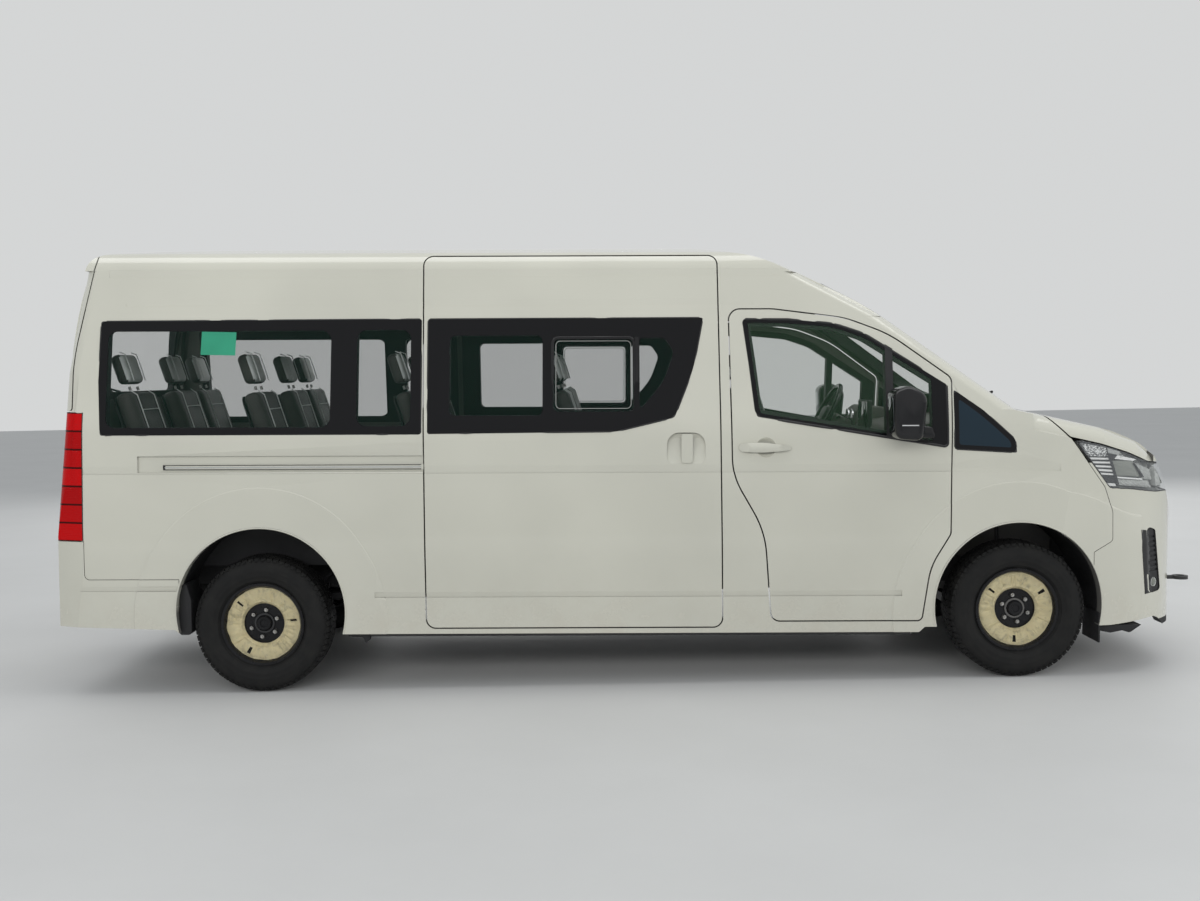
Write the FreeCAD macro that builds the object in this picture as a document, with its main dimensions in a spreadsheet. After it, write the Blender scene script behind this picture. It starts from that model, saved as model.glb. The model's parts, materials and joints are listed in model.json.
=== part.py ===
"""Long-wheelbase high-roof minibus, as an assembly of its real pieces.

The body frame has +X forward, +Y to the left, +Z up, with the ground near z = 0 and the
origin at mid-length. The whole vehicle then leans nose-down on its four wheels by one
small angle, so every sub-part gets the same lean as its placement.
"""
import FreeCAD
import Part
import math
import os
from FreeCAD import Placement, Rotation, Vector

os.makedirs("parts", exist_ok=True)
doc = FreeCAD.newDocument("Minibus")

# Driving dimensions: name, millimetres or degrees, meaning
SIZES = [
    ("overall_length", 5915, "over both bumpers"),
    ("body_width", 1950, "over the doors, without mirrors"),
    ("roof_height", 2275, "crown of the roof in the body frame"),
    ("lean_angle", 0.93, "nose-down stance, degrees"),
    ("wheelbase", 3860, "rear axle to front axle"),
    ("rear_overhang", 1045, "rear axle to tail"),
    ("track_width", 1675, "between the wheel planes"),
    ("tyre_radius", 347, "standing tyre"),
    ("tyre_width", 235, "tyre section"),
    ("rim_seat_radius", 203, "bead seat of the rim"),
    ("rim_half_width", 95, "half the rim over its flanges"),
    ("arch_radius", 430, "wheel arch opening"),
    ("arch_rise_front", 22, "arch centre over the front wheel centre"),
    ("arch_rise_rear", 68, "arch centre over the rear wheel centre"),
    ("wall_thickness", 60, "doors, sides and roof with their lining"),
    ("skin_depth", 15, "outer flange of a door past its inner part"),
    ("flange_step", 12, "how far the door skin laps over"),
    ("door_gap", 7, "shut line round what opens"),
    ("panel_gap", 3, "joint line between fixed panels"),
    ("glass_thickness", 5, "window glass"),
    ("seat_clearance", 0.3, "between a piece and its seat"),
    ("glass_border", 36, "black border round a see-through pane"),
    ("sill_height", 270, "underside of the sill"),
    ("floor_height", 620, "top of the cabin floor"),
    ("floor_thickness", 40, "floor plate"),
    ("rail_half_spacing", 360, "frame rail's inner face from the centre line"),
    ("rail_width", 70, "frame rail"),
    ("rail_height", 130, "frame rail"),
    ("hub_face_offset", 28, "wheel plane to the hub's mounting face"),
    ("hub_bore_radius", 52, "centre bore of the rim"),
    ("kingpin_offset", 80, "wheel plane to the kingpin"),
    ("liner_thickness", 6, "wheelhouse sheet"),
    ("seat_width", 470, "one passenger seat"),
    ("cushion_depth", 480, "seat cushion, front to back"),
    ("cushion_thickness", 130, "seat cushion"),
    ("cushion_top", 1090, "top of a seat cushion"),
    ("back_length", 560, "seat back"),
    ("back_thickness", 110, "seat back"),
    ("back_recline", 18, "seat back, degrees from upright"),
    ("headrest_length", 190, "headrest"),
    ("headrest_thickness", 100, "headrest"),
    ("headrest_width", 270, "headrest"),
    ("steering_wheel_radius", 195, "rim centre line"),
    ("steering_rim_radius", 15, "thickness of the rim"),
    ("steering_tilt", 28, "column above level, degrees"),
    ("tow_eye_radius", 24, "towing ring bore"),
    ("flare_width", 158, "raised panel round a wheel arch"),
    ("flare_rise", 4, "how far it stands out"),
    ("engine_length", 640, "engine and gearbox as one block"),
    ("engine_width", 560, "engine block"),
    ("engine_height", 740, "engine block"),
    ("propshaft_radius", 36, "propshaft tube"),
    ("plate_width", 440, "number-plate pad on the tailgate"),
    ("plate_height", 150, "number-plate pad"),
]

sheet = doc.addObject("Spreadsheet::Sheet", "Sizes")
for row, (alias, value, meaning) in enumerate(SIZES, start=1):
    sheet.set(f"A{row}", alias)
    sheet.set(f"B{row}", str(value))
    sheet.set(f"C{row}", meaning)
    sheet.setAlias(f"B{row}", alias)
doc.recompute()


def size(name):
    """A driving dimension as the sheet holds it."""
    return float(sheet.get(name))


HALF_LENGTH = size("overall_length") / 2
HALF_WIDTH = size("body_width") / 2
ROOF = size("roof_height")
WALL = size("wall_thickness")
GAP = size("door_gap")
JOINT = size("panel_gap")
CLEAR = size("seat_clearance")
GLASS = size("glass_thickness")
BORDER = size("glass_border")
SILL = size("sill_height")
FLOOR = size("floor_height")
FLOOR_UNDER = FLOOR - size("floor_thickness")
TYRE = size("tyre_radius")
TRACK_HALF = size("track_width") / 2
LEAN = math.radians(size("lean_angle"))
REAR_X = size("rear_overhang") - HALF_LENGTH
FRONT_X = REAR_X + size("wheelbase")
REAR_Z = (TYRE + REAR_X * math.sin(LEAN)) / math.cos(LEAN)
FRONT_Z = (TYRE + FRONT_X * math.sin(LEAN)) / math.cos(LEAN)
ARCH = size("arch_radius")
FAR = 4000.0
lean = Placement(Vector(), Rotation(Vector(0, 1, 0), size("lean_angle")))


# Outlines: corners as (u, v, corner radius), joined by lines and tangent arcs

def grow(outline, distance):
    """The outline moved outward by a distance, with its corner arcs kept concentric."""
    count = len(outline)
    turn_sum = 0.0
    for index in range(count):
        here, after = outline[index], outline[(index + 1) % count]
        turn_sum += here[0] * after[1] - after[0] * here[1]
    sense = 1.0 if turn_sum > 0 else -1.0
    sides = []
    for index in range(count):
        here, after = outline[index], outline[(index + 1) % count]
        run, rise = after[0] - here[0], after[1] - here[1]
        length = math.hypot(run, rise)
        run, rise = run / length, rise / length
        sides.append((here[0] + rise * sense * distance, here[1] - run * sense * distance, run, rise))
    moved = []
    for index in range(count):
        before, after = sides[index - 1], sides[index]
        cross = before[2] * after[3] - before[3] * after[2]
        u, v = after[0], after[1]
        if abs(cross) > 1e-6:
            reach = ((after[0] - before[0]) * after[3] - (after[1] - before[1]) * after[2]) / cross
            u, v = before[0] + before[2] * reach, before[1] + before[3] * reach
        radius = outline[index][2]
        if radius > 0:
            radius = max(1.0, radius + (distance if cross * sense > 0 else -distance))
        moved.append((u, v, radius))
    return moved


def outline_wire(outline, place):
    """Lines and tangent arcs through the corners, in the plane that place() gives."""
    count = len(outline)
    runs = []
    for index in range(count):
        u, v, radius = outline[index]
        before, after = outline[index - 1], outline[(index + 1) % count]
        back = (before[0] - u, before[1] - v)
        on = (after[0] - u, after[1] - v)
        back_length, on_length = math.hypot(*back), math.hypot(*on)
        back = (back[0] / back_length, back[1] / back_length)
        on = (on[0] / on_length, on[1] / on_length)
        angle = math.acos(max(-1.0, min(1.0, back[0] * on[0] + back[1] * on[1])))
        if radius <= 0 or math.pi - angle < 1e-4:
            runs.append(((u, v), None, (u, v)))
            continue
        tangent = min(radius / math.tan(angle / 2), 0.49 * back_length, 0.49 * on_length)
        radius = tangent * math.tan(angle / 2)
        middle = (back[0] + on[0], back[1] + on[1])
        depth = radius / math.sin(angle / 2) - radius
        scale = depth / math.hypot(*middle)
        runs.append((
            (u + back[0] * tangent, v + back[1] * tangent),
            (u + middle[0] * scale, v + middle[1] * scale),
            (u + on[0] * tangent, v + on[1] * tangent),
        ))
    edges = []
    for index in range(count):
        start, middle, end = runs[index]
        if middle is not None:
            edges.append(Part.Arc(place(*start), place(*middle), place(*end)).toShape())
        following = runs[(index + 1) % count][0]
        if math.hypot(following[0] - end[0], following[1] - end[1]) > 1e-4:
            edges.append(Part.LineSegment(place(*end), place(*following)).toShape())
    return Part.Wire(edges)


def side_prism(outline, low=-FAR, high=FAR):
    """An outline of (x, z) corners, extruded across the vehicle."""
    face = Part.Face(outline_wire(outline, lambda u, v: Vector(u, low, v)))
    return face.extrude(Vector(0, high - low, 0))


def front_prism(outline, low=-FAR, high=FAR):
    """An outline of (y, z) corners, extruded along the vehicle."""
    face = Part.Face(outline_wire(outline, lambda u, v: Vector(low, u, v)))
    return face.extrude(Vector(high - low, 0, 0))


def plan_prism(outline, low=-FAR, high=FAR):
    """An outline of (x, y) corners, extruded upward."""
    face = Part.Face(outline_wire(outline, lambda u, v: Vector(u, v, low)))
    return face.extrude(Vector(0, 0, high - low))


def block(x_low, x_high, y_low, y_high, z_low, z_high):
    """A plain box between two corners."""
    return Part.makeBox(x_high - x_low, y_high - y_low, z_high - z_low, Vector(x_low, y_low, z_low))


def rod(start, end, radius):
    """A round bar from one point to another."""
    start, end = Vector(*start), Vector(*end)
    along = end - start
    return Part.makeCylinder(radius, along.Length, start, along)


def both_sides(shape):
    """The shape and its mirror image across the centre line."""
    return [shape, shape.mirror(Vector(), Vector(0, 1, 0))]


def mirrored_outline(half):
    """A half outline of (y, z, radius), from the centre down one side, made whole."""
    return half + [(-u, v, radius) for u, v, radius in reversed(half[1:])]


# The body's outer form: a side profile, a cross-section and a plan, with rounded pillars

PROFILE_BASE = 100.0
FRONT_CENTRE = -900.0


def side_profile():
    """Side view on the centre line, from the tail over the roof to the nose."""
    tail, nose = -HALF_LENGTH, HALF_LENGTH
    return [
        (tail, PROFILE_BASE, 0),
        (tail, 713, 3000),
        (tail + 84, ROOF - 382, 2500),
        (tail + 162, ROOF - 66, 100),
        (tail + 607, ROOF - 29, 5000),
        (-1300, ROOF, 9000),
        (320, ROOF - 4, 2200),
        (830, ROOF - 82, 700),
        (1320, ROOF - 332, 1500),
        (nose - 887, 1400, 60),
        (nose - 397, 1288, 700),
        (nose - 197, 1193, 220),
        (nose - 97, 973, 900),
        (nose, 613, 1200),
        (nose, PROFILE_BASE, 0),
    ]


def cross_section():
    """Half of the section across the body, from the roof's middle down the left side."""
    return mirrored_outline([
        (0, ROOF + 6, 0),
        (420, ROOF - 2, 3000),
        (HALF_WIDTH - 170, ROOF - 68, 120),
        (HALF_WIDTH - 18, 1313, 900),
        (HALF_WIDTH, 720, 1500),
        (HALF_WIDTH - 25, PROFILE_BASE, 0),
    ])


def plan_outline():
    """Plan view, wider than the section along the sides and rounded at both ends."""
    nose, tail = HALF_LENGTH, -HALF_LENGTH
    half = [
        (nose, 0, 2500),
        (nose - 107, 680, 420),
        (nose - 397, HALF_WIDTH - 70, 900),
        (2000, HALF_WIDTH + 25, 0),
        (-2700, HALF_WIDTH + 25, 0),
        (tail + 12, HALF_WIDTH - 45, 0),
        (tail, 0, 4000),
    ]
    return half + [(u, -v, radius) for u, v, radius in reversed(half[1:-1])]


def reach(outline, height, pick):
    """Where the outline crosses a height, on the side that pick chooses."""
    wire = outline_wire(outline, lambda u, v: Vector(u, 0, v))
    points = wire.discretize(Deflection=0.2)
    crossings = []
    for here, after in zip(points, points[1:] + points[:1]):
        if min(here.z, after.z) <= height <= max(here.z, after.z) and here.z != after.z:
            share = (height - here.z) / (after.z - here.z)
            crossings.append(here.x + (after.x - here.x) * share)
    return pick(crossings)


def rounded_corner(low, high, radius, front_angle, heading):
    """What rounding takes off an upright edge: a sliver, slanted from low to high.

    low and high are points on the sharp edge. The side runs along X, and the face that
    meets it turns away from square by front_angle. heading is +1 at the nose, -1 behind.
    """
    outward = 1.0 if low.y > 0 else -1.0
    side = Vector(-heading, 0, 0)
    across = Vector(heading * math.sin(front_angle), -outward * math.cos(front_angle), 0)
    angle = side.getAngle(across)
    tangent = radius / math.tan(angle / 2)
    middle = (side + across).normalize() * (radius / math.sin(angle / 2) - radius)
    arc = Part.Arc(low + side * tangent, low + middle, low + across * tangent).toShape()
    beyond = low - (side + across).normalize() * radius
    ends = [
        Part.LineSegment(low + across * tangent, low + across * tangent - side * radius).toShape(),
        Part.LineSegment(low + across * tangent - side * radius, beyond).toShape(),
        Part.LineSegment(beyond, low + side * tangent - across * radius).toShape(),
        Part.LineSegment(low + side * tangent - across * radius, low + side * tangent).toShape(),
    ]
    return Part.Face(Part.Wire([arc] + ends)).extrude(high - low)


def rounded_shoulder(low, high, radius, slope):
    """What rounding takes off the edge between a sloping top and an upright side."""
    outward = 1.0 if low.y > 0 else -1.0
    down = Vector(0, 0, -1)
    inward = Vector(0, -outward, 0)
    inward = (inward + Vector(0, 0, slope)).normalize()
    angle = down.getAngle(inward)
    tangent = radius / math.tan(angle / 2)
    middle = (down + inward).normalize() * (radius / math.sin(angle / 2) - radius)
    arc = Part.Arc(low + down * tangent, low + middle, low + inward * tangent).toShape()
    beyond = low - (down + inward).normalize() * radius
    ends = [
        Part.LineSegment(low + inward * tangent, low + inward * tangent - down * radius).toShape(),
        Part.LineSegment(low + inward * tangent - down * radius, beyond).toShape(),
        Part.LineSegment(beyond, low + down * tangent - inward * radius).toShape(),
        Part.LineSegment(low + down * tangent - inward * radius, low + down * tangent).toShape(),
    ]
    return Part.Face(Part.Wire([arc] + ends)).extrude(high - low)


hulls = {}


def hull(inset):
    """The body's outer form as one solid, shrunk by an inset."""
    if inset in hulls:
        return hulls[inset]
    profile = grow(side_profile(), -inset)
    section = grow(cross_section(), -inset)
    plan = grow(plan_outline(), -inset)
    rear = side_prism(profile).common(block(-FAR, FRONT_CENTRE, -FAR, FAR, 0, FAR))
    face = Part.Face(outline_wire(profile, lambda u, v: Vector(u, 0, v)))
    ahead = Part.Face(Part.makePolygon([
        Vector(FRONT_CENTRE, 0, 0), Vector(FAR, 0, 0), Vector(FAR, 0, FAR),
        Vector(FRONT_CENTRE, 0, FAR), Vector(FRONT_CENTRE, 0, 0),
    ]))
    half = face.common(ahead)
    half.rotate(Vector(FRONT_CENTRE, 0, 0), Vector(0, 0, 1), -90)
    front = half.revolve(Vector(FRONT_CENTRE, 0, 0), Vector(0, 0, 1), 180)
    form = rear.fuse(front).common(front_prism(section)).common(plan_prism(plan))

    def side_at(height):
        return reach(section, height, max)

    def tail_corner(height):
        return Vector(reach(profile, height, min), side_at(height), height)

    def pillar_corner(height):
        radius = reach(profile, height, max) - FRONT_CENTRE
        side = side_at(height)
        return Vector(FRONT_CENTRE + math.sqrt(radius ** 2 - side ** 2), side, height)

    slivers = []
    rounding = max(2.0, TAIL_ROUNDING - inset)
    for low, high in TAIL_HEIGHTS:
        slivers.append(rounded_corner(tail_corner(low), tail_corner(high), rounding, 0.03, -1))
    rounding = max(2.0, PILLAR_ROUNDING - inset)
    for low, high in PILLAR_HEIGHTS:
        foot = pillar_corner(low)
        turn = math.asin(foot.y / (foot.x - FRONT_CENTRE)) if foot.y < foot.x - FRONT_CENTRE else 0.5
        slivers.append(rounded_corner(foot, pillar_corner(high), rounding, turn * 0.9, 1))
    rounding = max(2.0, SHOULDER_ROUNDING - inset)

    def shoulder_corner(station):
        side = reach([(v, u, r) for u, v, r in plan], station, max) if station > 2300 else side_at(1340)
        side = min(side, side_at(1300))
        around = FRONT_CENTRE + math.hypot(station - FRONT_CENTRE, side)
        height = reach([(v, u, r) for u, v, r in profile], around, max)
        return Vector(station, side, height)

    for low, high in SHOULDER_STATIONS:
        slivers.append(rounded_shoulder(shoulder_corner(low), shoulder_corner(high), rounding, 0.06))
    for sliver in slivers:
        for piece in both_sides(sliver):
            form = form.cut(piece)
    form = form.Solids[0]
    if inset == 0.0:
        form = creased(flared(form))
    hulls[inset] = form
    return hulls[inset]


def arch_centre(front):
    """Along and height of a wheel arch's centre."""
    if front:
        return FRONT_X, FRONT_Z + size("arch_rise_front")
    return REAR_X, REAR_Z + size("arch_rise_rear")


def flared(form):
    """The body form with a raised panel round each wheel arch, its edge a soft slope."""
    raised = hull(-size("flare_rise"))
    edge = ARCH + size("flare_width")
    foot = HALF_WIDTH - 115
    top = HALF_WIDTH + 25
    for front in (True, False):
        x, z = arch_centre(front)
        spread = FLARE_SLOPE * (top - foot)
        cone = Part.makeCone(edge + spread, edge, top - foot, Vector(x, foot, z), Vector(0, 1, 0))
        for side in both_sides(raised.common(cone)):
            form = form.fuse(side)
    return form.removeSplitter().Solids[0]


def creased(form):
    """The body form with its pressed lines: wedges with a crisp foot that run out upward."""
    for start, end, foot, top, depth in CREASES:
        at_foot = reach(cross_section(), foot, max) - depth
        at_top = reach(cross_section(), top, max)
        wedge = front_prism([
            (HALF_WIDTH + 50, foot, 0), (at_foot, foot, 0), (at_top, top, 0), (HALF_WIDTH + 50, top, 0),
        ], start, end)
        for side in both_sides(wedge):
            form = form.cut(side)
    return form.Solids[0]


FLARE_SLOPE = 1.5
CREASES = [
    # start and end along the body, foot and top in height, depth
    (-2690, 900, 2091, 2128, 3.0),
    (-2600, 600, 1942, 1974, 2.5),
    (-2830, 2150, 1090, 1130, 4.0),
    (-1330, 1350, 458, 486, 4.0),
    (-2950, -2330, 494, 520, 3.5),
]
SHOULDER_ROUNDING = 85.0
SHOULDER_STATIONS = [(2010, 2380), (2380, 2580), (2580, 2680)]
TAIL_ROUNDING = 70.0
PILLAR_ROUNDING = 95.0
TAIL_HEIGHTS = [(PROFILE_BASE + 70, 700), (700, 1600), (1600, ROOF - 150)]
PILLAR_HEIGHTS = [(1402, 1880), (1880, ROOF - 165)]


def shell(depth, outer=0.0):
    """The layer of the body between two depths below its surface."""
    return hull(outer).cut(hull(depth))


# Side views of the openings, doors and glass: corners as (x, z, radius)

SLIDING_DOOR = [(-1079, 2194, 45), (417, 2194, 45), (436, 302, 45), (-1066, 302, 45)]
FRONT_DOOR = [
    (478, 1915, 55), (700, 1915, 250), (1070, 1868, 500), (1290, 1785, 600), (1600, 1562, 45),
    (1590, 775, 40), (1490, 610, 350), (1450, 332, 25), (690, 332, 45), (655, 790, 500),
    (492, 1075, 350),
]
SLIDING_GLASS = [
    (-1056, 1872, 12), (345, 1874, 18), (294, 1615, 900), (195, 1368, 90), (-100, 1298, 300),
    (-1056, 1290, 12),
]
REAR_GLASS = [
    (-2722, 1866, 30), (-1089, 1872, 12), (-1089, 1288, 12), (-2710, 1288, 30), (-2726, 1560, 0),
]
FRONT_GLASS = [
    (544, 1866, 18), (780, 1864, 150), (1010, 1842, 300), (1165, 1790, 250), (1578, 1528, 18),
    (1578, 1214, 18), (1353, 1245, 500), (859, 1334, 400), (606, 1372, 50), (574, 1645, 0),
]
FRONT_PANES = [
    # from, to along the body
    (0, 1268),
    (1306, 1500),
]
HINGE_LEAVES = [
    # height, door edge there
    (560, 1478),
    (1120, 1600),
]
PULL_CENTRE = (658.0, 1217.0)
PULL_CUP_RADIUS = 51.0
PULL_CUP_DEPTH = 20.0
PULL_RISE = 32.0
PULL_BAR = [
    (520, 1196, 18), (520, 1236, 18), (640, 1242, 400), (782, 1222, 9), (782, 1202, 9), (640, 1190, 400),
]
CUP = [(156, 1292, 62), (351, 1292, 62), (351, 1132, 40), (156, 1132, 40)]
CUP_DEPTH = 24.0
GRIP = [(229, 1286, 10), (286, 1286, 10), (286, 1138, 12), (229, 1138, 12)]
WING_BLANK = [(1612, 1503, 14), (1760, 1398, 60), (1918, 1252, 45), (1928, 1184, 25), (1612, 1203, 14)]
SLIDING_PANES = [
    [(-945, 1786, 22), (-473, 1786, 22), (-473, 1381, 22), (-945, 1381, 22)],
    [(-421, 1773, 30), (-8, 1773, 30), (-8, 1399, 30), (-421, 1399, 30)],
    [(20, 1771, 12), (150, 1771, 30), (196, 1700, 40), (144, 1552, 300), (20, 1405, 12)],
]
REAR_PANES = [
    [(-2684, 1815, 22), (-1549, 1815, 22), (-1549, 1325, 22), (-2684, 1325, 22)],
    [(-1416, 1817, 22), (-1143, 1817, 22), (-1143, 1330, 22), (-1416, 1330, 22)],
]
WINDSCREEN = [
    (0, 2072, 4000), (-720, 2054, 95), (-822, 1430, 110), (0, 1412, 5000), (822, 1430, 110),
    (720, 2054, 95),
]
TAIL_GLASS = [(-700, 1985, 80), (700, 1985, 80), (752, 1465, 80), (-752, 1465, 80)]

# Side views of the panel splits
ROOF_JOINT = 2085.0
ROOF_REGION = [
    (-FAR, ROOF_JOINT, 0), (800, ROOF_JOINT, 0), (800, 2035, 0), (1500, 2035, 0), (1500, FAR, 0),
    (-FAR, FAR, 0),
]
TAILGATE_UPPER = [
    (-FAR, 1411, 0), (-2866, 1411, 20), (-2860, 1700, 900), (-2764, 2170, 60), (-2752, FAR, 0), (-FAR, FAR, 0),
]
TAILGATE_HALF_WIDTH = 745.0
TAILGATE_BASE = 590.0
REAR_BUMPER = [
    (-FAR, 0, 0), (-2322, 0, 0), (-2322, 555, 0), (-2800, 555, 25), (-2800, 750, 0), (-FAR, 750, 0),
]
TAIL_LAMP = [(-FAR, 752, 0), (-2805, 752, 12), (-2826, 1405, 12), (-FAR, 1405, 0)]
BONNET_REAR = 2079.0
FRONT_REGION = [
    (BONNET_REAR, FAR, 0), (BONNET_REAR, 1372, 0), (2200, 1256, 60), (2384, 1006, 60), (2428, 880, 60),
    (2431, 731, 25), (2330, 675, 0), (2330, 0, 0), (FAR, 0, 0), (FAR, FAR, 0),
]
BONNET = [
    (BONNET_REAR + GAP, FAR, 0), (BONNET_REAR + GAP, 1375, 0), (2202, 1264, 40), (2365, 1227, 200),
    (2518, 1181, 200), (2650, 1128, 150), (FAR, 1128, 0), (FAR, FAR, 0),
]
BONNET_HINGES = (560.0, 620.0)
GRILLE_BASE = 968.0
GRILLE_TOP = 1121.0
HEADLAMP = [
    (2217, 1251, 15), (2365, 1220, 200), (2518, 1174, 200), (2650, GRILLE_TOP, 150), (FAR, GRILLE_TOP, 0),
    (FAR, GRILLE_BASE, 0), (2700, GRILLE_BASE, 60), (2535, 990, 60), (2412, 1000, 20),
]
HEADLAMP_INNER = 430.0
FOG_VENT = [(2640, 795, 25), (2705, 772, 20), (2752, 450, 20), (2668, 440, 25)]
LOWER_INTAKE = [(-430, 650, 40), (430, 650, 40), (360, 430, 40), (-360, 430, 40)]
SKIRT = [
    (-FAR, 345, 0), (-2350, 295, 0), (-2320, SILL, 0), (1440, SILL, 0), (1470, SILL + 27, 0),
    (2430, SILL + 27, 0), (2720, SILL + 50, 60), (2780, SILL - 5, 0), (FAR, SILL - 5, 0), (FAR, FAR, 0),
    (-FAR, FAR, 0),
]

# Finished sub-parts, by node name
nodes = {}


def add(label, shape):
    """A sub-part whose form is worked out above, leaned with the vehicle."""
    if isinstance(shape, (list, tuple)):
        shape = Part.makeCompound(list(shape))
    feature = doc.addObject("Part::Feature", label)
    feature.Label = label
    feature.Shape = shape.removeSplitter() if shape.ShapeType == "Solid" else shape
    feature.Placement = lean
    nodes[label] = feature
    return feature


def solids_over(shape, volume=2000.0):
    """The solids of a boolean's result, without crumbs."""
    return [solid for solid in shape.Solids if solid.Volume > volume]


skirt = side_prism(SKIRT)
wall_shell = shell(WALL).common(skirt)
right_half = block(-FAR, FAR, -FAR, 0, 0, FAR)
left_half = block(-FAR, FAR, 0, FAR, 0, FAR)


def wheel_cylinder(front, radius, y_low, y_high):
    """A cylinder across the vehicle, about an arch's centre."""
    x, z = arch_centre(front)
    return Part.makeCylinder(radius, y_high - y_low, Vector(x, y_low, z), Vector(0, 1, 0))


arches = wheel_cylinder(True, ARCH, -FAR, FAR).fuse(wheel_cylinder(False, ARCH, -FAR, FAR))
glass_layer = shell(GLASS)


def glazed(host, outline, panes, prism):
    """The host with a seat for one glass and with its see-through panes cut."""
    seat = prism(grow(outline, CLEAR * 4)).cut(hull(GLASS + CLEAR))
    host = host.cut(seat)
    for pane in panes:
        host = host.cut(prism(pane))
    return host


def right(outline):
    """An outline cut through the right half only."""
    return side_prism(outline, -FAR, 0)


def left(outline):
    """An outline cut through the left half only."""
    return side_prism(outline, 0, FAR)


def door_leaf(outline, prism):
    """A hollow-walled door: a skin that laps over a narrower inner part."""
    depth = size("skin_depth")
    skin = shell(depth).common(prism(outline))
    inner = shell(WALL, depth).common(prism(grow(outline, -size("flange_step"))))
    return skin.fuse(inner).common(skirt)


# Doors, each with its pull in a cup that is pressed into the skin

def front_door_apertures(prism):
    """The two see-through panes of a front door, either side of the division bar."""
    field = prism(grow(FRONT_GLASS, -BORDER))
    return [field.common(block(low, high, -FAR, FAR, 0, FAR)) for low, high in FRONT_PANES]


def front_pull():
    """The left front door's cup and the bar across it."""
    along, height = PULL_CENTRE
    skin_at = reach(cross_section(), height, max)
    ball = (PULL_CUP_RADIUS ** 2 + PULL_CUP_DEPTH ** 2) / (2 * PULL_CUP_DEPTH)
    cup = Part.makeSphere(ball, Vector(along, skin_at + ball - PULL_CUP_DEPTH, height))
    grip = side_prism(PULL_BAR, skin_at - 10, skin_at + PULL_RISE)
    ends = plan_prism([
        (PULL_BAR[0][0] - 1, skin_at - 20, 0), (PULL_BAR[0][0] - 1, skin_at + PULL_RISE - 22, 0),
        (along - 90, skin_at + PULL_RISE, 60), (along + 70, skin_at + PULL_RISE, 60),
        (PULL_BAR[3][0] + 1, skin_at + PULL_RISE - 22, 0), (PULL_BAR[3][0] + 1, skin_at - 20, 0),
    ])
    rounding = rod((0, skin_at + PULL_RISE - 55, height - 2), (FAR, skin_at + PULL_RISE - 55, height - 2), 55)
    return cup, grip.common(ends).common(rounding).cut(hull(-CLEAR))


hinge_layer = shell(WALL - 6, 24)
front_cup, front_bar = front_pull()
for name, prism in (("right", right), ("left", left)):
    door = door_leaf(FRONT_DOOR, prism)
    door = glazed(door, FRONT_GLASS, [], prism)
    for aperture in front_door_apertures(prism):
        door = door.cut(aperture)
    # Hinge leaves reach the pillar
    for height, edge in HINGE_LEAVES:
        leaf = block(edge - 60, edge + GAP - CLEAR, -FAR, FAR, height - 35, height + 35)
        door = door.fuse(leaf.common(hinge_layer).common(prism(grow(FRONT_DOOR, GAP - CLEAR))))
    which = 1 if name == "right" else 0
    door = door.cut(both_sides(front_cup)[which])
    add(f"front_door_{name}", solids_over(door))
    add(f"door_glass_{name}", solids_over(glass_layer.common(prism(FRONT_GLASS))))
    add(f"door_handle_{name}", solids_over(both_sides(front_bar)[which]))


def sliding_room(offset):
    """The space of the sliding door's cup: deep at its top, running out at its foot."""
    low, high = CUP[2][1], CUP[0][1]
    skin_high = -reach(cross_section(), high, max)
    skin_low = -reach(cross_section(), low, max)
    slope = front_prism([
        (skin_high + CUP_DEPTH + offset, high + 20, 0), (skin_high + CUP_DEPTH + offset, high - 30, 12),
        (skin_low - 1 + offset, low, 0), (skin_high - 80, low, 0), (skin_high - 80, high + 20, 0),
    ])
    return right(grow(CUP, offset)).common(slope)


sliding = door_leaf(SLIDING_DOOR, right)
sliding = glazed(sliding, SLIDING_GLASS, SLIDING_PANES, right).cut(sliding_room(0.0))
add("sliding_door", solids_over(sliding))
add("sliding_door_glass", solids_over(glass_layer.common(right(SLIDING_GLASS))))
grip_skin = -reach(cross_section(), GRIP[0][1], max)
grip = side_prism(GRIP, grip_skin - 14, grip_skin + CUP_DEPTH)
finger_room = block(0, 400, grip_skin - 1, grip_skin + CUP_DEPTH, GRIP[2][1] + 26, GRIP[0][1] - 24)
grip = grip.cut(finger_room).cut(hull(-CLEAR).cut(sliding_room(-CLEAR)))
add("sliding_door_handle", solids_over(grip, 1000.0))

# Tailgate with its plate pad in a recess, a garnish above, and its glass
tailgate_lower = block(-FAR, -2600, -TAILGATE_HALF_WIDTH, TAILGATE_HALF_WIDTH, TAILGATE_BASE, 1500)
tailgate_region = side_prism(TAILGATE_UPPER).fuse(tailgate_lower)
tailgate_opening = side_prism(grow(TAILGATE_UPPER, GAP)).fuse(
    block(-FAR, -2600, -TAILGATE_HALF_WIDTH - GAP, TAILGATE_HALF_WIDTH + GAP, TAILGATE_BASE - GAP, 1500))
tailgate = wall_shell.common(tailgate_region)
PLATE_MIDDLE = 1120.0
PLATE_FACE = 38.0 - HALF_LENGTH
PLATE_RECESS_DEPTH = 22.0
half_plate = size("plate_width") / 2
plate_low = PLATE_MIDDLE - size("plate_height") / 2
plate_high = PLATE_MIDDLE + size("plate_height") / 2
plate_recess = front_prism([
    (-half_plate - 105, plate_high + 45, 30), (half_plate + 105, plate_high + 45, 30),
    (half_plate + 80, plate_low - 35, 50), (-half_plate - 80, plate_low - 35, 50),
], -FAR, -2500)
tailgate = tailgate.cut(plate_recess.cut(hull(PLATE_RECESS_DEPTH)))
tailgate = tailgate.fuse(block(PLATE_FACE, PLATE_FACE + 50, -half_plate, half_plate, plate_low, plate_high))
GARNISH = [(-2890, 1262, 0), (-2932, 1262, 10), (-2930, 1304, 12), (-2880, 1310, 0)]
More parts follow.
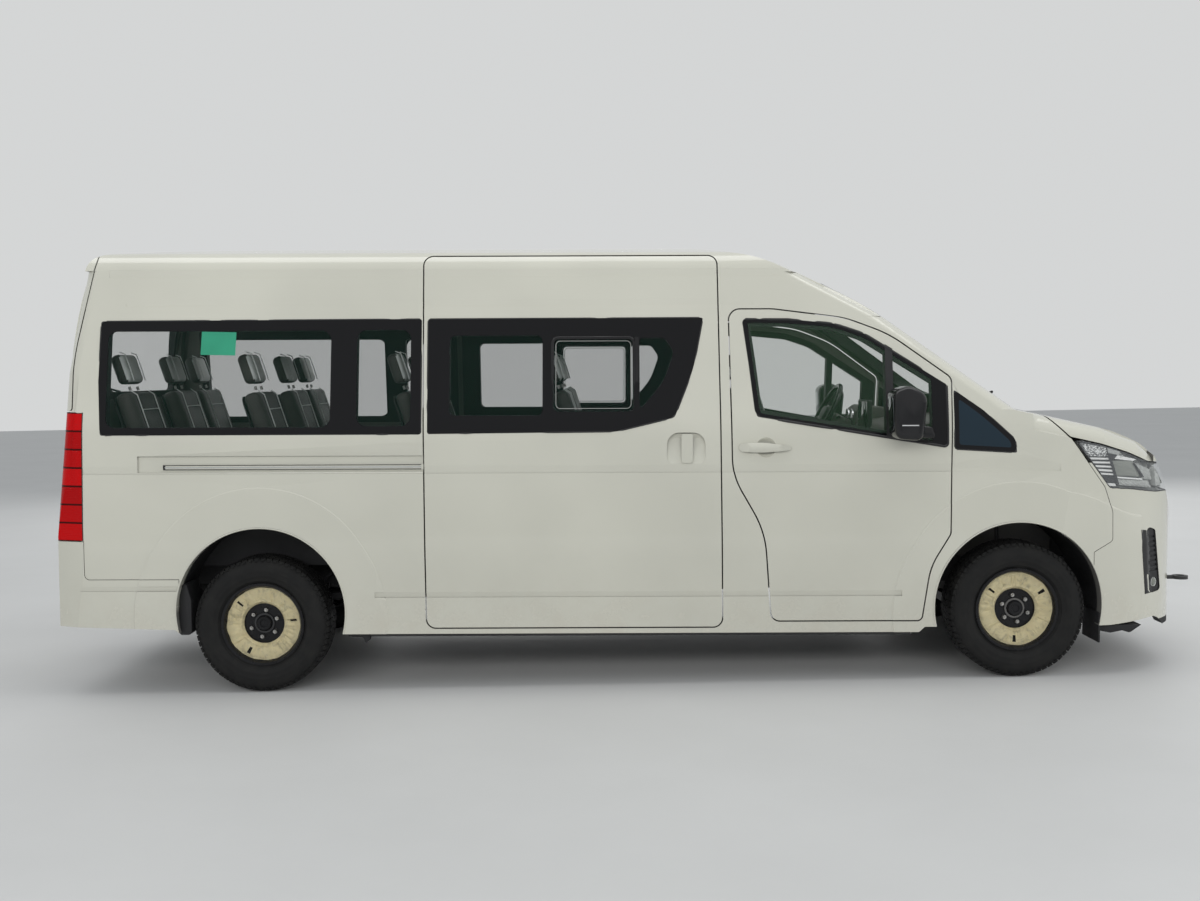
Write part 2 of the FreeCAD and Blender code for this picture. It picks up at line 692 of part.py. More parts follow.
tailgate = tailgate.fuse(side_prism(GARNISH, -half_plate - 110, half_plate + 110))
tailgate = glazed(tailgate, TAIL_GLASS, [], lambda outline: front_prism(outline, -FAR, -2000))
tailgate = tailgate.cut(front_prism(grow(TAIL_GLASS, -BORDER), -FAR, -2000))
add("tailgate", solids_over(tailgate))
add("tailgate_glass", solids_over(glass_layer.common(front_prism(TAIL_GLASS, -FAR, -2000))))

# Bonnet, lamps, grille and front bumper
front_shell = wall_shell.common(side_prism(grow(FRONT_REGION, -JOINT)))
bonnet = front_shell.common(side_prism(BONNET))
hinge_edge = [(u - GAP + CLEAR if u < BONNET_REAR + GAP + 1 else u, v, radius) for u, v, radius in BONNET]
stub = wall_shell.common(side_prism(hinge_edge)).common(
    block(BONNET_REAR, BONNET_REAR + GAP + 20, BONNET_HINGES[0], BONNET_HINGES[1], 0, FAR))
for piece in both_sides(stub):
    bonnet = bonnet.fuse(piece)
add("bonnet", solids_over(bonnet.removeSplitter()))
lamp_region = side_prism(HEADLAMP).cut(block(0, FAR, -HEADLAMP_INNER, HEADLAMP_INNER, 0, FAR))
add("headlamps", solids_over(front_shell.common(lamp_region)))
GRILLE_BARS, GRILLE_PITCH, GRILLE_BAR = 5, 28, 14
grille_half = HEADLAMP_INNER - JOINT
upper_grille = block(2500, FAR, -grille_half, grille_half, GRILLE_BASE + CLEAR, GRILLE_TOP)
upper_grille = upper_grille.cut(
    block(2500, FAR, -grille_half + 22, grille_half - 22, GRILLE_BASE + 17, GRILLE_TOP - 14))
for index in range(GRILLE_BARS):
    height = GRILLE_BASE + 12 + index * GRILLE_PITCH
    upper_grille = upper_grille.fuse(block(2500, FAR, -grille_half, grille_half, height, height + GRILLE_BAR))
upper_grille = front_shell.common(upper_grille)
intake = front_prism(LOWER_INTAKE, 2500, FAR)
intake_ring = intake.cut(front_prism(grow(LOWER_INTAKE, -14), 2500, FAR))
INTAKE_BARS, INTAKE_PITCH, INTAKE_BAR = 5, 38, 12
for index in range(INTAKE_BARS):
    height = LOWER_INTAKE[2][1] + 32 + index * INTAKE_PITCH
    intake_ring = intake_ring.fuse(intake.common(block(2500, FAR, -FAR, FAR, height, height + INTAKE_BAR)))
lower_grille = shell(WALL, 12).common(intake_ring)
FOG_DEPTH, FOG_RIBS, FOG_PITCH, FOG_LAMP = 14.0, 8, 25, (2705.0, 495.0, 26.0)
fog_insert = side_prism(grow(FOG_VENT, -CLEAR)).common(shell(FOG_DEPTH - CLEAR, 6.0))
for index in range(FOG_RIBS):
    height = FOG_VENT[1][1] - 30 - index * FOG_PITCH
    slot = block(2600, 2800, -FAR, FAR, height - 12, height).common(side_prism(grow(FOG_VENT, -9)))
    fog_insert = fog_insert.cut(slot.cut(hull(FOG_DEPTH - 4)))
fog_along, fog_height, fog_radius = FOG_LAMP
fog_insert = fog_insert.cut(Part.makeCylinder(
    fog_radius, 2 * FAR, Vector(fog_along, -FAR, fog_height), Vector(0, 1, 0)).cut(hull(FOG_DEPTH - 4)))
add("grille", solids_over(upper_grille) + solids_over(lower_grille) + solids_over(fog_insert))
bumper = front_shell.cut(side_prism(grow(BONNET, GAP)))
bumper = bumper.cut(side_prism(HEADLAMP)).cut(intake).cut(arches)
bumper = bumper.common(block(0, FAR, -FAR, FAR, 0, GRILLE_TOP + 9))
bumper = bumper.cut(side_prism(FOG_VENT).cut(hull(FOG_DEPTH)))
TOW_Y, TOW_Z, TOW_STEM, TOW_WALL, TOW_THICKNESS = -520.0, 480.0, 11.0, 17.0, 18.0
bumper = bumper.cut(rod((HALF_LENGTH - 200, TOW_Y, TOW_Z), (HALF_LENGTH, TOW_Y, TOW_Z), TOW_STEM + 1))
add("front_bumper", solids_over(bumper, 100000.0))

# Tail lamps and rear bumper
lamps = wall_shell.common(side_prism(TAIL_LAMP)).cut(
    block(-FAR, 0, -TAILGATE_HALF_WIDTH - GAP, TAILGATE_HALF_WIDTH + GAP, 0, FAR))
add("tail_lamps", solids_over(lamps))
rear_bumper = wall_shell.common(side_prism(grow(REAR_BUMPER, -JOINT / 2))).cut(tailgate_opening).cut(arches)
add("rear_bumper", solids_over(rear_bumper, 100000.0))

# Windscreen and scuttle
screen_prism = front_prism(WINDSCREEN, 600, FAR)
add("windscreen", solids_over(glass_layer.common(screen_prism)))
screen_seat = front_prism(grow(WINDSCREEN, CLEAR * 4), 600, FAR).cut(hull(GLASS + CLEAR))
screen_hole = front_prism(grow(WINDSCREEN, -BORDER), 600, FAR)
scuttle_region = block(1500, BONNET_REAR, -770, 770, 1300, 1500)
scuttle = wall_shell.common(scuttle_region).cut(screen_seat).cut(screen_hole)
add("scuttle", solids_over(scuttle))

# Roof
roof_region = side_prism(ROOF_REGION)
roof = wall_shell.common(roof_region)
roof = roof.cut(right(grow(SLIDING_DOOR, GAP))).cut(tailgate_opening).cut(screen_seat).cut(screen_hole)
add("roof_panel", solids_over(roof))

# Body sides with the pillars, quarters and wings
for name, half, prism in (("right", right_half, right), ("left", left_half, left)):
    side = wall_shell.common(half)
    side = side.cut(roof_region).cut(prism(grow(FRONT_DOOR, GAP)))
    side = side.cut(tailgate_opening)
    side = side.cut(side_prism(FRONT_REGION)).cut(side_prism(grow(REAR_BUMPER, JOINT / 2)))
    side = side.cut(side_prism(grow(TAIL_LAMP, CLEAR))).cut(arches).cut(scuttle_region)
    side = side.cut(screen_seat).cut(screen_hole)
    side = glazed(side, REAR_GLASS, REAR_PANES, prism)
    side = glazed(side, WING_BLANK, [], prism)
    if name == "right":
        side = side.cut(prism(grow(SLIDING_DOOR, GAP)))
        recess = block(-2523, -1072, -FAR, 0, 1098, 1181).cut(hull(14))
        side = side.cut(recess)
    else:
        side = glazed(side, SLIDING_GLASS, SLIDING_PANES, prism)
    add(f"side_panel_{name}", solids_over(side, 50000.0))

# Fixed side glass: quarters on both sides, the middle on the left, and the wing blanks
fixed_glass = []
for prism in (right, left):
    fixed_glass += solids_over(glass_layer.common(prism(REAR_GLASS)))
    fixed_glass += solids_over(glass_layer.common(prism(WING_BLANK)))
fixed_glass += solids_over(glass_layer.common(left(SLIDING_GLASS)))
add("side_glass", fixed_glass)

# The sliding door's slotted rail in the quarter
rail = block(-2400, -1076, -FAR, 0, 1110, 1138).common(shell(14 - CLEAR, 4))
add("slide_rail", solids_over(rail))

# Floor, wheelhouses and bulkhead
inside = hull(WALL + CLEAR)
liner_out = size("liner_thickness")
wheel_room = None
for front in (True, False):
    inner_y = 500.0 if front else 634.0
    for y_low, y_high in ((inner_y, FAR), (-FAR, -inner_y)):
        room = wheel_cylinder(front, ARCH + liner_out + CLEAR, y_low, y_high)
        wheel_room = room if wheel_room is None else wheel_room.fuse(room)
floor_plate = inside.common(block(-2880, 1560, -FAR, FAR, FLOOR_UNDER, FLOOR)).cut(wheel_room)
add("floor_pan", solids_over(floor_plate))

liners = []
for front in (True, False):
    inner_y = 500.0 if front else 634.0
    foot = FRONT_Z - 20 if front else REAR_Z + 40
    ring = wheel_cylinder(front, ARCH + liner_out, inner_y, FAR).cut(wheel_cylinder(front, ARCH, 0, FAR))
    if not front:
        cap = wheel_cylinder(front, ARCH + liner_out, inner_y, inner_y + liner_out)
        ring = ring.fuse(cap.common(block(-FAR, FAR, 0, FAR, FLOOR_UNDER, FAR)))
    ring = ring.common(inside).common(block(-FAR, FAR, 0, FAR, foot, FAR))
    for piece in both_sides(ring):
        liners += solids_over(piece)
add("wheelhouses", liners)

BULKHEAD = [
    (1560, FLOOR_UNDER, 0), (1560, 1000, 60), (1650, 1185, 60), (1960, 1205, 40), (1985, 1400, 0),
    (2010, 1400, 0),
    (1985, 1180, 40), (1665, 1160, 60), (1585, 1000, 60), (1585, FLOOR_UNDER, 0),
]
bulkhead = side_prism(BULKHEAD).common(inside).cut(wheel_room)
add("bulkhead", solids_over(bulkhead))

DASH = [
    (1335, 1190, 30), (1350, 1300, 45), (1560, 1335, 80), (1900, 1345, 20), (1930, 1240, 20), (1640, 1215, 60),
    (1560 - CLEAR, 1040, 60), (1560 - CLEAR, 820, 30), (1440, 820, 40), (1420, 1120, 60),
]
WHEEL_CENTRE = Vector(1190, 450, 1340)
tilt = math.radians(size("steering_tilt"))
COLUMN = Vector(math.cos(tilt), 0, -math.sin(tilt))
dash = side_prism(DASH, -830, 830).common(hull(WALL + 1))
COLUMN_START = 42.0
column = rod(WHEEL_CENTRE + COLUMN * COLUMN_START, WHEEL_CENTRE + COLUMN * 330, 38)
add("dashboard", solids_over(dash.fuse(column)))

# Seats: rows of the headrest's place behind the mid-length and across
SEAT_ROWS = [
    # headrest x, seats across
    (-2690, (-620, 130, 620)),
    (-2030, (-620, 130, 620)),
    (-1250, (-620, 130, 620)),
    (-440, (-620, 130, 620)),
    (560, (-450, 450)),
]
recline = math.radians(size("back_recline"))
lean_back = Vector(-math.sin(recline), 0, math.cos(recline))
frames, posts, cushions, backs, headrests = [], [], [], [], []
half_seat = size("seat_width") / 2
cushion_top = size("cushion_top")
cushion_base = cushion_top - size("cushion_thickness")


def leaned_block(foot, length, thickness, half_width, radius):
    """A rounded pad standing on its foot and reclined with the seat back."""
    pad = side_prism([
        (-thickness / 2, 0, radius), (thickness / 2, 0, radius),
        (thickness / 2, length, radius), (-thickness / 2, length, radius),
    ], -half_width, half_width)
    pad.rotate(Vector(), Vector(0, 1, 0), -size("back_recline"))
    pad.translate(foot)
    return pad


for headrest_x, across in SEAT_ROWS:
    back_foot = headrest_x + (size("back_length") + 140) * math.sin(recline)
    for y in across:
        front_edge = back_foot + size("back_thickness") / 2 + size("cushion_depth")
        rear_edge = front_edge - size("cushion_depth") + 10
        cushions.append(side_prism([
            (rear_edge, cushion_base, 40), (front_edge, cushion_base, 40),
            (front_edge, cushion_top, 50), (rear_edge, cushion_top - 20, 40),
        ], y - half_seat, y + half_seat))
        foot = Vector(back_foot, y, cushion_base + 20)
        back = leaned_block(foot, size("back_length"), size("back_thickness"), half_seat, 45)
        backs.append(back)
        top = foot + lean_back * (size("back_length") + 20)
        headrests.append(leaned_block(
            top, size("headrest_length"), size("headrest_thickness"), size("headrest_width") / 2, 40))
        pan = block(back_foot - 60, front_edge - 20, y - half_seat + 15, y + half_seat - 15,
                    cushion_base - 30 - CLEAR, cushion_base - CLEAR)
        frame = pan
        for leg_y in (y - half_seat + 40, y + half_seat - 70):
            leg = block(back_foot, front_edge - 80, leg_y, leg_y + 30, FLOOR, cushion_base - 20)
            frame = frame.fuse(leg)
        frame = frame.fuse(block(back_foot - 70, back_foot + 20, y - half_seat + 60, y + half_seat - 60,
                                 cushion_base - 30 - CLEAR, cushion_base + 14))
        for post_y in (y - 60, y + 60):
            post_foot = foot + lean_back * (size("back_length") + CLEAR)
            posts.append(rod((post_foot.x, post_y, post_foot.z),
                             (top - lean_back * CLEAR + Vector(0, post_y - y, 0)), 7))
        frames += solids_over(frame.cut(wheel_room).removeSplitter())
add("seat_frames", frames)
add("headrest_posts", posts)
add("seat_cushions", cushions)
add("seat_backs", backs)
add("headrests", headrests)

# Ladder frame with the front crossmember and spring brackets
rail_in = size("rail_half_spacing")
rail_out = rail_in + size("rail_width")
rail_top = FLOOR_UNDER
rail_base = rail_top - size("rail_height")
ladder = None
beam_room = hull(WALL + CLEAR)
for piece in both_sides(block(-FAR, FAR, rail_in, rail_out, rail_base, rail_top)):
    ladder = piece if ladder is None else ladder.fuse(piece)
CROSSMEMBERS = [-2030, -1400, -200, 1000, 1480]
for x in CROSSMEMBERS:
    ladder = ladder.fuse(block(x - 30, x + 30, -rail_out, rail_out, rail_base, rail_top))
for x_low, x_high in ((-2960, -2830), (2760, 2960)):
    ladder = ladder.fuse(block(x_low, x_high, -620, 620, rail_base, rail_top))
ladder = ladder.common(beam_room)
lower_cross = block(FRONT_X - 110, FRONT_X + 110, -rail_out, rail_out, FRONT_Z - 140, FRONT_Z - 90)
ladder = ladder.fuse(lower_cross)
for tower in both_sides(block(FRONT_X - 110, FRONT_X + 110, rail_in, rail_out, FRONT_Z - 140, rail_base + 10)):
    ladder = ladder.fuse(tower)
SPRING_HALF = 640.0
SPRING_Y = 530.0
spring_eye_z = rail_base - CLEAR
for x in (REAR_X - SPRING_HALF + 30, REAR_X + SPRING_HALF - 30):
    for bracket in both_sides(block(x - 35, x + 35, rail_out - 5, SPRING_Y + 40, rail_base, rail_base + 60)):
        ladder = ladder.fuse(bracket)
carrier = block(-2860, -2000, -40, 40, rail_top - 14, rail_top)
ladder = ladder.fuse(carrier)
add("ladder_frame", solids_over(ladder.removeSplitter()))

# Rear axle with its differential, hubs and spring seats
axle_tube = 45.0
spring_bottom = REAR_Z + axle_tube + 12
drum_radius = 140.0
hub_face = TRACK_HALF + size("hub_face_offset") - CLEAR
pilot_radius = size("hub_bore_radius") - 1
axle = rod((REAR_X, -TRACK_HALF, REAR_Z), (REAR_X, TRACK_HALF, REAR_Z), axle_tube)
DIFFERENTIAL = 135.0
axle = axle.fuse(Part.makeSphere(DIFFERENTIAL, Vector(REAR_X, 0, REAR_Z)))
DRUM_STEPS = [
    # from, to beyond the wheel plane, radius
    (-65, 5, drum_radius),
    (0, hub_face - TRACK_HALF, 78),
    (0, hub_face - TRACK_HALF + 22, pilot_radius),
]
for sign in (-1, 1):
    for start, end, radius in DRUM_STEPS:
        inner, outer = sign * (TRACK_HALF + start), sign * (TRACK_HALF + end)
        axle = axle.fuse(rod((REAR_X, inner, REAR_Z), (REAR_X, outer, REAR_Z), radius))
    axle = axle.fuse(block(REAR_X - 60, REAR_X + 60, sign * SPRING_Y - 36, sign * SPRING_Y + 36,
                           REAR_Z, spring_bottom - CLEAR))
add("rear_axle", solids_over(axle.removeSplitter()))

leaf = Part.Wire([
    Part.Arc(Vector(REAR_X - SPRING_HALF, 0, spring_eye_z), Vector(REAR_X, 0, spring_bottom + 34),
             Vector(REAR_X + SPRING_HALF, 0, spring_eye_z)).toShape(),
    Part.LineSegment(Vector(REAR_X + SPRING_HALF, 0, spring_eye_z),
                     Vector(REAR_X + SPRING_HALF, 0, spring_eye_z - 16)).toShape(),
    Part.Arc(Vector(REAR_X + SPRING_HALF, 0, spring_eye_z - 16), Vector(REAR_X, 0, spring_bottom),
             Vector(REAR_X - SPRING_HALF, 0, spring_eye_z - 16)).toShape(),
    Part.LineSegment(Vector(REAR_X - SPRING_HALF, 0, spring_eye_z - 16),
                     Vector(REAR_X - SPRING_HALF, 0, spring_eye_z)).toShape(),
])
leaf_pack = Part.Face(leaf).extrude(Vector(0, 65, 0))
leaf_pack.translate(Vector(0, SPRING_Y - 32.5, 0))

# Front suspension arms
ARM_PLAN = [(FRONT_X - 110, rail_out + CLEAR, 0), (FRONT_X + 110, rail_out + CLEAR, 0),
            (FRONT_X + 45, 620, 60), (FRONT_X + 32, TRACK_HALF - 60, 20), (FRONT_X - 32, TRACK_HALF - 60, 20),
            (FRONT_X - 45, 620, 60)]
suspension = both_sides(leaf_pack)
for z_low, z_high in ((FRONT_Z - 135, FRONT_Z - 108), (FRONT_Z + 118, FRONT_Z + 145)):
    suspension += both_sides(plan_prism(ARM_PLAN, z_low, z_high))
add("suspension", suspension)

# Knuckles: upright, hub and brake disc, one each side
kingpin_y = TRACK_HALF - size("kingpin_offset")
HUB_STEPS = [
    # from, to beyond the wheel plane, radius
    (-size("kingpin_offset"), 0, 55),
    (-20, 2, 145),
    (0, hub_face - TRACK_HALF, 78),
    (0, hub_face - TRACK_HALF + 22, pilot_radius),
]
for name, sign in (("left", 1), ("right", -1)):
    y_king = sign * kingpin_y
    y_low, y_high = sorted((y_king - sign * 22, y_king + sign * 30))
    king_low, king_high = FRONT_Z - 108 + CLEAR, FRONT_Z + 118 - CLEAR
    knuckle = block(FRONT_X - 32, FRONT_X + 32, y_low, y_high, king_low + 20, king_high - 20)
    knuckle = knuckle.fuse(rod((FRONT_X, y_king, king_low), (FRONT_X, y_king, king_high), 26))
    for start, end, radius in HUB_STEPS:
        inner, outer = sign * (TRACK_HALF + start), sign * (TRACK_HALF + end)
        knuckle = knuckle.fuse(rod((FRONT_X, inner, FRONT_Z), (FRONT_X, outer, FRONT_Z), radius))
    add(f"knuckle_{name}", knuckle.removeSplitter())

# Engine and gearbox block, propshaft, exhaust, tank
engine_x, engine_z = 1690.0, 385.0
engine = doc.addObject("Part::Box", "engine_body")
engine.setExpression("Length", "Sizes.engine_length")
engine.setExpression("Width", "Sizes.engine_width")
engine.setExpression("Height", "Sizes.engine_height")
engine.Placement = lean.multiply(Placement(Vector(engine_x, -size("engine_width") / 2, engine_z), Rotation()))
engine.Label = "engine_block"
nodes["engine_block"] = engine

prop_start = Vector(engine_x - 1 - CLEAR, 0, engine_z + 19)
prop_way = prop_start - Vector(REAR_X, 0, REAR_Z)
propshaft = doc.addObject("Part::Cylinder", "propshaft_body")
propshaft.setExpression("Radius", "Sizes.propshaft_radius")
propshaft.Height = prop_way.Length - DIFFERENTIAL - CLEAR
prop_end = prop_start - Vector(prop_way).normalize() * float(propshaft.Height)
propshaft.Placement = lean.multiply(Placement(prop_end, Rotation(Vector(0, 0, 1), prop_way)))
propshaft.Label = "propshaft"
nodes["propshaft"] = propshaft

pipe_z, pipe_y, pipe_radius = 400.0, 235.0, 27.0
side_exit = -1150.0
exhaust = rod((engine_x, pipe_y, pipe_z), (side_exit + 90, pipe_y, pipe_z), pipe_radius)
exhaust = exhaust.fuse(rod((-1000, pipe_y, pipe_z), (-400, pipe_y, pipe_z), 85))
bend = Part.makeTorus(90, pipe_radius, Vector(side_exit + 90, pipe_y + 90, pipe_z), Vector(0, 0, 1))
bend = bend.common(block(side_exit - 100, side_exit + 90, pipe_y - 100, pipe_y + 90, 0, FAR))
exhaust = exhaust.fuse(bend)
exhaust = exhaust.fuse(rod((side_exit, pipe_y + 90, pipe_z), (side_exit, HALF_WIDTH - 85, pipe_z), pipe_radius))
for x in (CROSSMEMBERS[2], CROSSMEMBERS[3]):
    exhaust = exhaust.fuse(rod((x, pipe_y, pipe_z), (x, pipe_y, rail_base - CLEAR), 8))
add("exhaust", solids_over(exhaust.removeSplitter()))

tank = side_prism([
    (-1000, 350, 60), (-80, 350, 60), (-80, FLOOR_UNDER - CLEAR, 20), (-1000, FLOOR_UNDER - CLEAR, 20),
], -880, -470)
add("fuel_tank", tank)


# Wheels: a rim and a tyre turned about the axle line

def profile_body(label, points, place):
    """A turned piece: a sketch of (radius, offset) corners revolved about its Y axis."""
    body = doc.addObject("PartDesign::Body", f"{label}_body")
    sketch = body.newObject("Sketcher::SketchObject", f"{label}_sketch")
    plane = [item for item in body.Origin.OriginFeatures if item.Role == "XY_Plane"][0]
    sketch.AttachmentSupport = (plane, [""])
    sketch.MapMode = "FlatFace"
    count = len(points)
    for index in range(count):
        here, after = points[index], points[(index + 1) % count]
        sketch.addGeometry(Part.LineSegment(Vector(here[0], here[1], 0), Vector(after[0], after[1], 0)), False)
    revolution = body.newObject("PartDesign::Revolution", f"{label}_turn")
    revolution.Profile = sketch
    revolution.ReferenceAxis = (sketch, ["V_Axis"])
    revolution.Angle = 360
    body.Placement = lean.multiply(place)
    body.Label = label
    nodes[label] = body
    return body


bead = size("rim_seat_radius")
half_rim = size("rim_half_width")
face = size("hub_face_offset")
bore = size("hub_bore_radius")
RIM = [
    (bead + 9, -half_rim), (bead + 9, -half_rim + 6), (bead - CLEAR, -half_rim + 11),
    (bead - CLEAR, half_rim - 11), (bead + 9, half_rim - 6), (bead + 9, half_rim), (bead - 5, half_rim),
    (bead - 12, half_rim - 14), (bead - 14, face + 36), (bead - 70, face + 26), (bead - 98, face + 12),
    (bore, face + 12), (bore, face), (bead - 95, face), (bead - 66, face + 13), (bead - 14, face + 22),
    (bead - 11, 0), (bead - 11, -half_rim + 14), (bead - 5, -half_rim),
]
half_tyre = size("tyre_width") / 2
TYRE_OUTLINE = [
    (bead, -half_rim + 13), (bead, half_rim - 13), (bead + 12, half_rim - 5), (bead + 45, half_tyre - 4),
    (bead + 75, half_tyre), (TYRE - 32, half_tyre - 7), (TYRE - 9, half_tyre - 20), (TYRE - 2, half_tyre - 40),
    (TYRE, 0), (TYRE - 2, -half_tyre + 40), (TYRE - 9, -half_tyre + 20), (TYRE - 32, -half_tyre + 7),
    (bead + 75, -half_tyre), (bead + 45, -half_tyre + 4), (bead + 12, -half_rim + 5),
]
WHEELS = [
    # name, along, height, side
    ("front_left", FRONT_X, FRONT_Z, 1),
    ("front_right", FRONT_X, FRONT_Z, -1),
    ("rear_left", REAR_X, REAR_Z, 1),
    ("rear_right", REAR_X, REAR_Z, -1),
]
for name, x, z, sign in WHEELS:
    turn = Rotation(Vector(0, 0, 1), 0 if sign > 0 else 180)
    place = Placement(Vector(x, sign * TRACK_HALF, z), turn)
    profile_body(f"rim_{name}", RIM, place)
    profile_body(f"tyre_{name}", TYRE_OUTLINE, place)
spare_place = Placement(Vector(-2425, 0, rail_top - 14 - CLEAR - half_tyre), Rotation(Vector(1, 0, 0), 90))
SPARE = [(60, face), (bead - 20, face), (bead, half_rim - 13), (bead + 12, half_rim)] + TYRE_OUTLINE[3:14] + [
    (bead, -half_rim + 13), (bead - 12, -half_rim + 20), (bead - 20, face - 12), (60, face - 12)]
profile_body("spare_wheel", SPARE, spare_place)

# Steering wheel
ring = Part.makeTorus(size("steering_wheel_radius"), size("steering_rim_radius"), WHEEL_CENTRE, COLUMN)
hub_pad = Part.makeCylinder(62, COLUMN_START + 4 - CLEAR, WHEEL_CENTRE - COLUMN * 4, COLUMN)
steering = ring.fuse(hub_pad)
spoke_plane_x = Vector(0, 1, 0)
spoke_plane_z = COLUMN.cross(spoke_plane_x)
for angle in (-10, 190, 270):
    turn = math.radians(angle)
    outward = spoke_plane_x * math.cos(turn) + spoke_plane_z * math.sin(turn)
    start = WHEEL_CENTRE + outward * 30 + COLUMN * 12
    end = WHEEL_CENTRE + outward * size("steering_wheel_radius")
    steering = steering.fuse(Part.makeCylinder(11, (end - start).Length, start, end - start))
add("steering_wheel", solids_over(steering))

# Mirrors on the front doors
MIRROR_CASE = [(1262, 1265, 45), (1400, 1255, 40), (1420, 1480, 60), (1330, 1529, 60), (1251, 1500, 45)]
MIRROR_ARM = [(1330, 1262, 15), (1500, 1262, 15), (1480, 1320, 15), (1340, 1330, 15)]
for name, sign in (("right", -1), ("left", 1)):
    low, high = sorted((sign * 1010, sign * 1205))
    case = side_prism(MIRROR_CASE, low, high)
    arm_low, arm_high = sorted((sign * 900, sign * 1040))
    arm = side_prism(MIRROR_ARM, arm_low, arm_high)
    mirror = case.fuse(arm).cut(hull(-CLEAR))
    add(f"mirror_{name}", solids_over(mirror.removeSplitter(), 20000.0))

# Front towing ring: its eye is a plain bore, and its stem ends at the frame's front beam
tow_room = hull(WALL)
eye_at = Vector(HALF_LENGTH, TOW_Y, TOW_Z - TOW_THICKNESS / 2)
tow = Part.makeCylinder(size("tow_eye_radius") + TOW_WALL, TOW_THICKNESS, eye_at)
stem = rod((HALF_LENGTH - 160, TOW_Y, TOW_Z), (HALF_LENGTH - 30, TOW_Y, TOW_Z), TOW_STEM)
tow = tow.fuse(stem).cut(Part.makeCylinder(size("tow_eye_radius"), TOW_THICKNESS, eye_at)).cut(tow_room)
add("tow_eye", solids_over(tow.removeSplitter()))

fin = side_prism([(560, ROOF - 120, 0), (668, ROOF - 120, 0), (600, ROOF + 48, 20)], -14, 14).cut(hull(-CLEAR))
add("antenna_fin", solids_over(fin, 500.0))

doc.recompute()
for item in doc.Objects:
    if "Invalid" in item.State or "Error" in item.State:
        raise RuntimeError(f"{item.Label} did not rebuild: {item.State}")
for label, item in nodes.items():
    form = item.Shape
    if form.isNull() or not form.isValid() or not form.Solids:
        raise RuntimeError(f"{label} is not a valid solid")
    form.exportStep(f"parts/{label}.step")
    print(label, len(form.Solids), "solids", len(form.Faces), "faces", round(form.Volume / 1e6, 2), "litres")
print("nodes", len(nodes))
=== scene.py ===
import json
import math

import bmesh
import bpy
from bpy.props import FloatProperty, FloatVectorProperty, IntProperty, PointerProperty
from mathutils import Matrix, Vector, noise
from mathutils.bvhtree import BVHTree


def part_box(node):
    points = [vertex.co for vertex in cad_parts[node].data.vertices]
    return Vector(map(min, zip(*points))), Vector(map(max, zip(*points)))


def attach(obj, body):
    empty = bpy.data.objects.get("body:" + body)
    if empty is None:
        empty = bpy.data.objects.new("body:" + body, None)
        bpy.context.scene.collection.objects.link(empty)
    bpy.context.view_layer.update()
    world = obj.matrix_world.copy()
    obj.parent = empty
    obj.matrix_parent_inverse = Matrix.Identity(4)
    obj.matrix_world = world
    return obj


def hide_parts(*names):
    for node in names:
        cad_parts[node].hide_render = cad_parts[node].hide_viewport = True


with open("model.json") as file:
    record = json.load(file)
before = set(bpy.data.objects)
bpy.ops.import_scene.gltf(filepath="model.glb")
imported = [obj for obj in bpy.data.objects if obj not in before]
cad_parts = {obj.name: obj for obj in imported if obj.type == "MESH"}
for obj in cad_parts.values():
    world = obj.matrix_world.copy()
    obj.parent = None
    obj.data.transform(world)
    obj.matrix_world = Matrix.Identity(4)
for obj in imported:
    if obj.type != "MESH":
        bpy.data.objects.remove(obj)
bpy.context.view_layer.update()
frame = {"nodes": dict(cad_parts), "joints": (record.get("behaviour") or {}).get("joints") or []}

bl_info = {
    "name": "Minibus dressing",
    "version": (1, 0, 0),
    "blender": (4, 5, 0),
    "location": "View3D > Sidebar > Minibus",
    "description": "Finishes, seats and small fittings of a long high-roof minibus",
    "category": "Object",
}

def joint_axis(name):
    """The direction that a joint turns about, as the frame gives it."""
    return next(joint["axis"] for joint in frame["joints"] if joint["name"] == name)


def rectangle(u, v, *radius):
    """Corners of an upright rectangle, from the first u and the first v on."""
    return [(u[0], v[0], *radius), (u[1], v[0], *radius), (u[1], v[1], *radius), (u[0], v[1], *radius)]


STEER_AXIS = joint_axis("steer_left")
LEAN = math.atan2(STEER_AXIS[0], STEER_AXIS[2])
LEANED = Matrix.Rotation(LEAN, 4, "Y")
LEVEL = LEANED.inverted()
SIDES = {"right": -1.0, "left": 1.0}
WHEELS = ("front_left", "front_right", "rear_left", "rear_right")
SHELL = "body_shell"

# Outlines in the level body frame: corners as (along or across, height, corner radius), in metres
REAR_GLASS = [
    (-2.722, 1.866, 0.03), (-1.089, 1.872, 0.012), (-1.089, 1.288, 0.012), (-2.710, 1.288, 0.03),
    (-2.726, 1.560, 0),
]
SLIDING_GLASS = [
    (-1.056, 1.872, 0.012), (0.345, 1.874, 0.018), (0.294, 1.615, 0.9), (0.195, 1.368, 0.09),
    (-0.100, 1.298, 0.3), (-1.056, 1.290, 0.012),
]
FRONT_GLASS = [
    (0.544, 1.866, 0.018), (0.780, 1.864, 0.15), (1.010, 1.842, 0.3), (1.165, 1.790, 0.25),
    (1.578, 1.528, 0.018), (1.578, 1.214, 0.018), (0.606, 1.372, 0.05), (0.574, 1.645, 0),
]
WING_BLANK = [
    (1.612, 1.503, 0.014), (1.760, 1.398, 0.06), (1.918, 1.252, 0.045), (1.928, 1.184, 0.025),
    (1.612, 1.203, 0.014),
]
WING_BORDER = 0.024
SIDE_PANES = [
    # low x, high x, low z, high z, corner radius
    (-2.684, -1.549, 1.325, 1.815, 0.05),
    (-1.416, -1.143, 1.330, 1.817, 0.05),
    (-0.945, -0.473, 1.381, 1.786, 0.03),
    (-0.421, -0.008, 1.399, 1.773, 0.03),
]
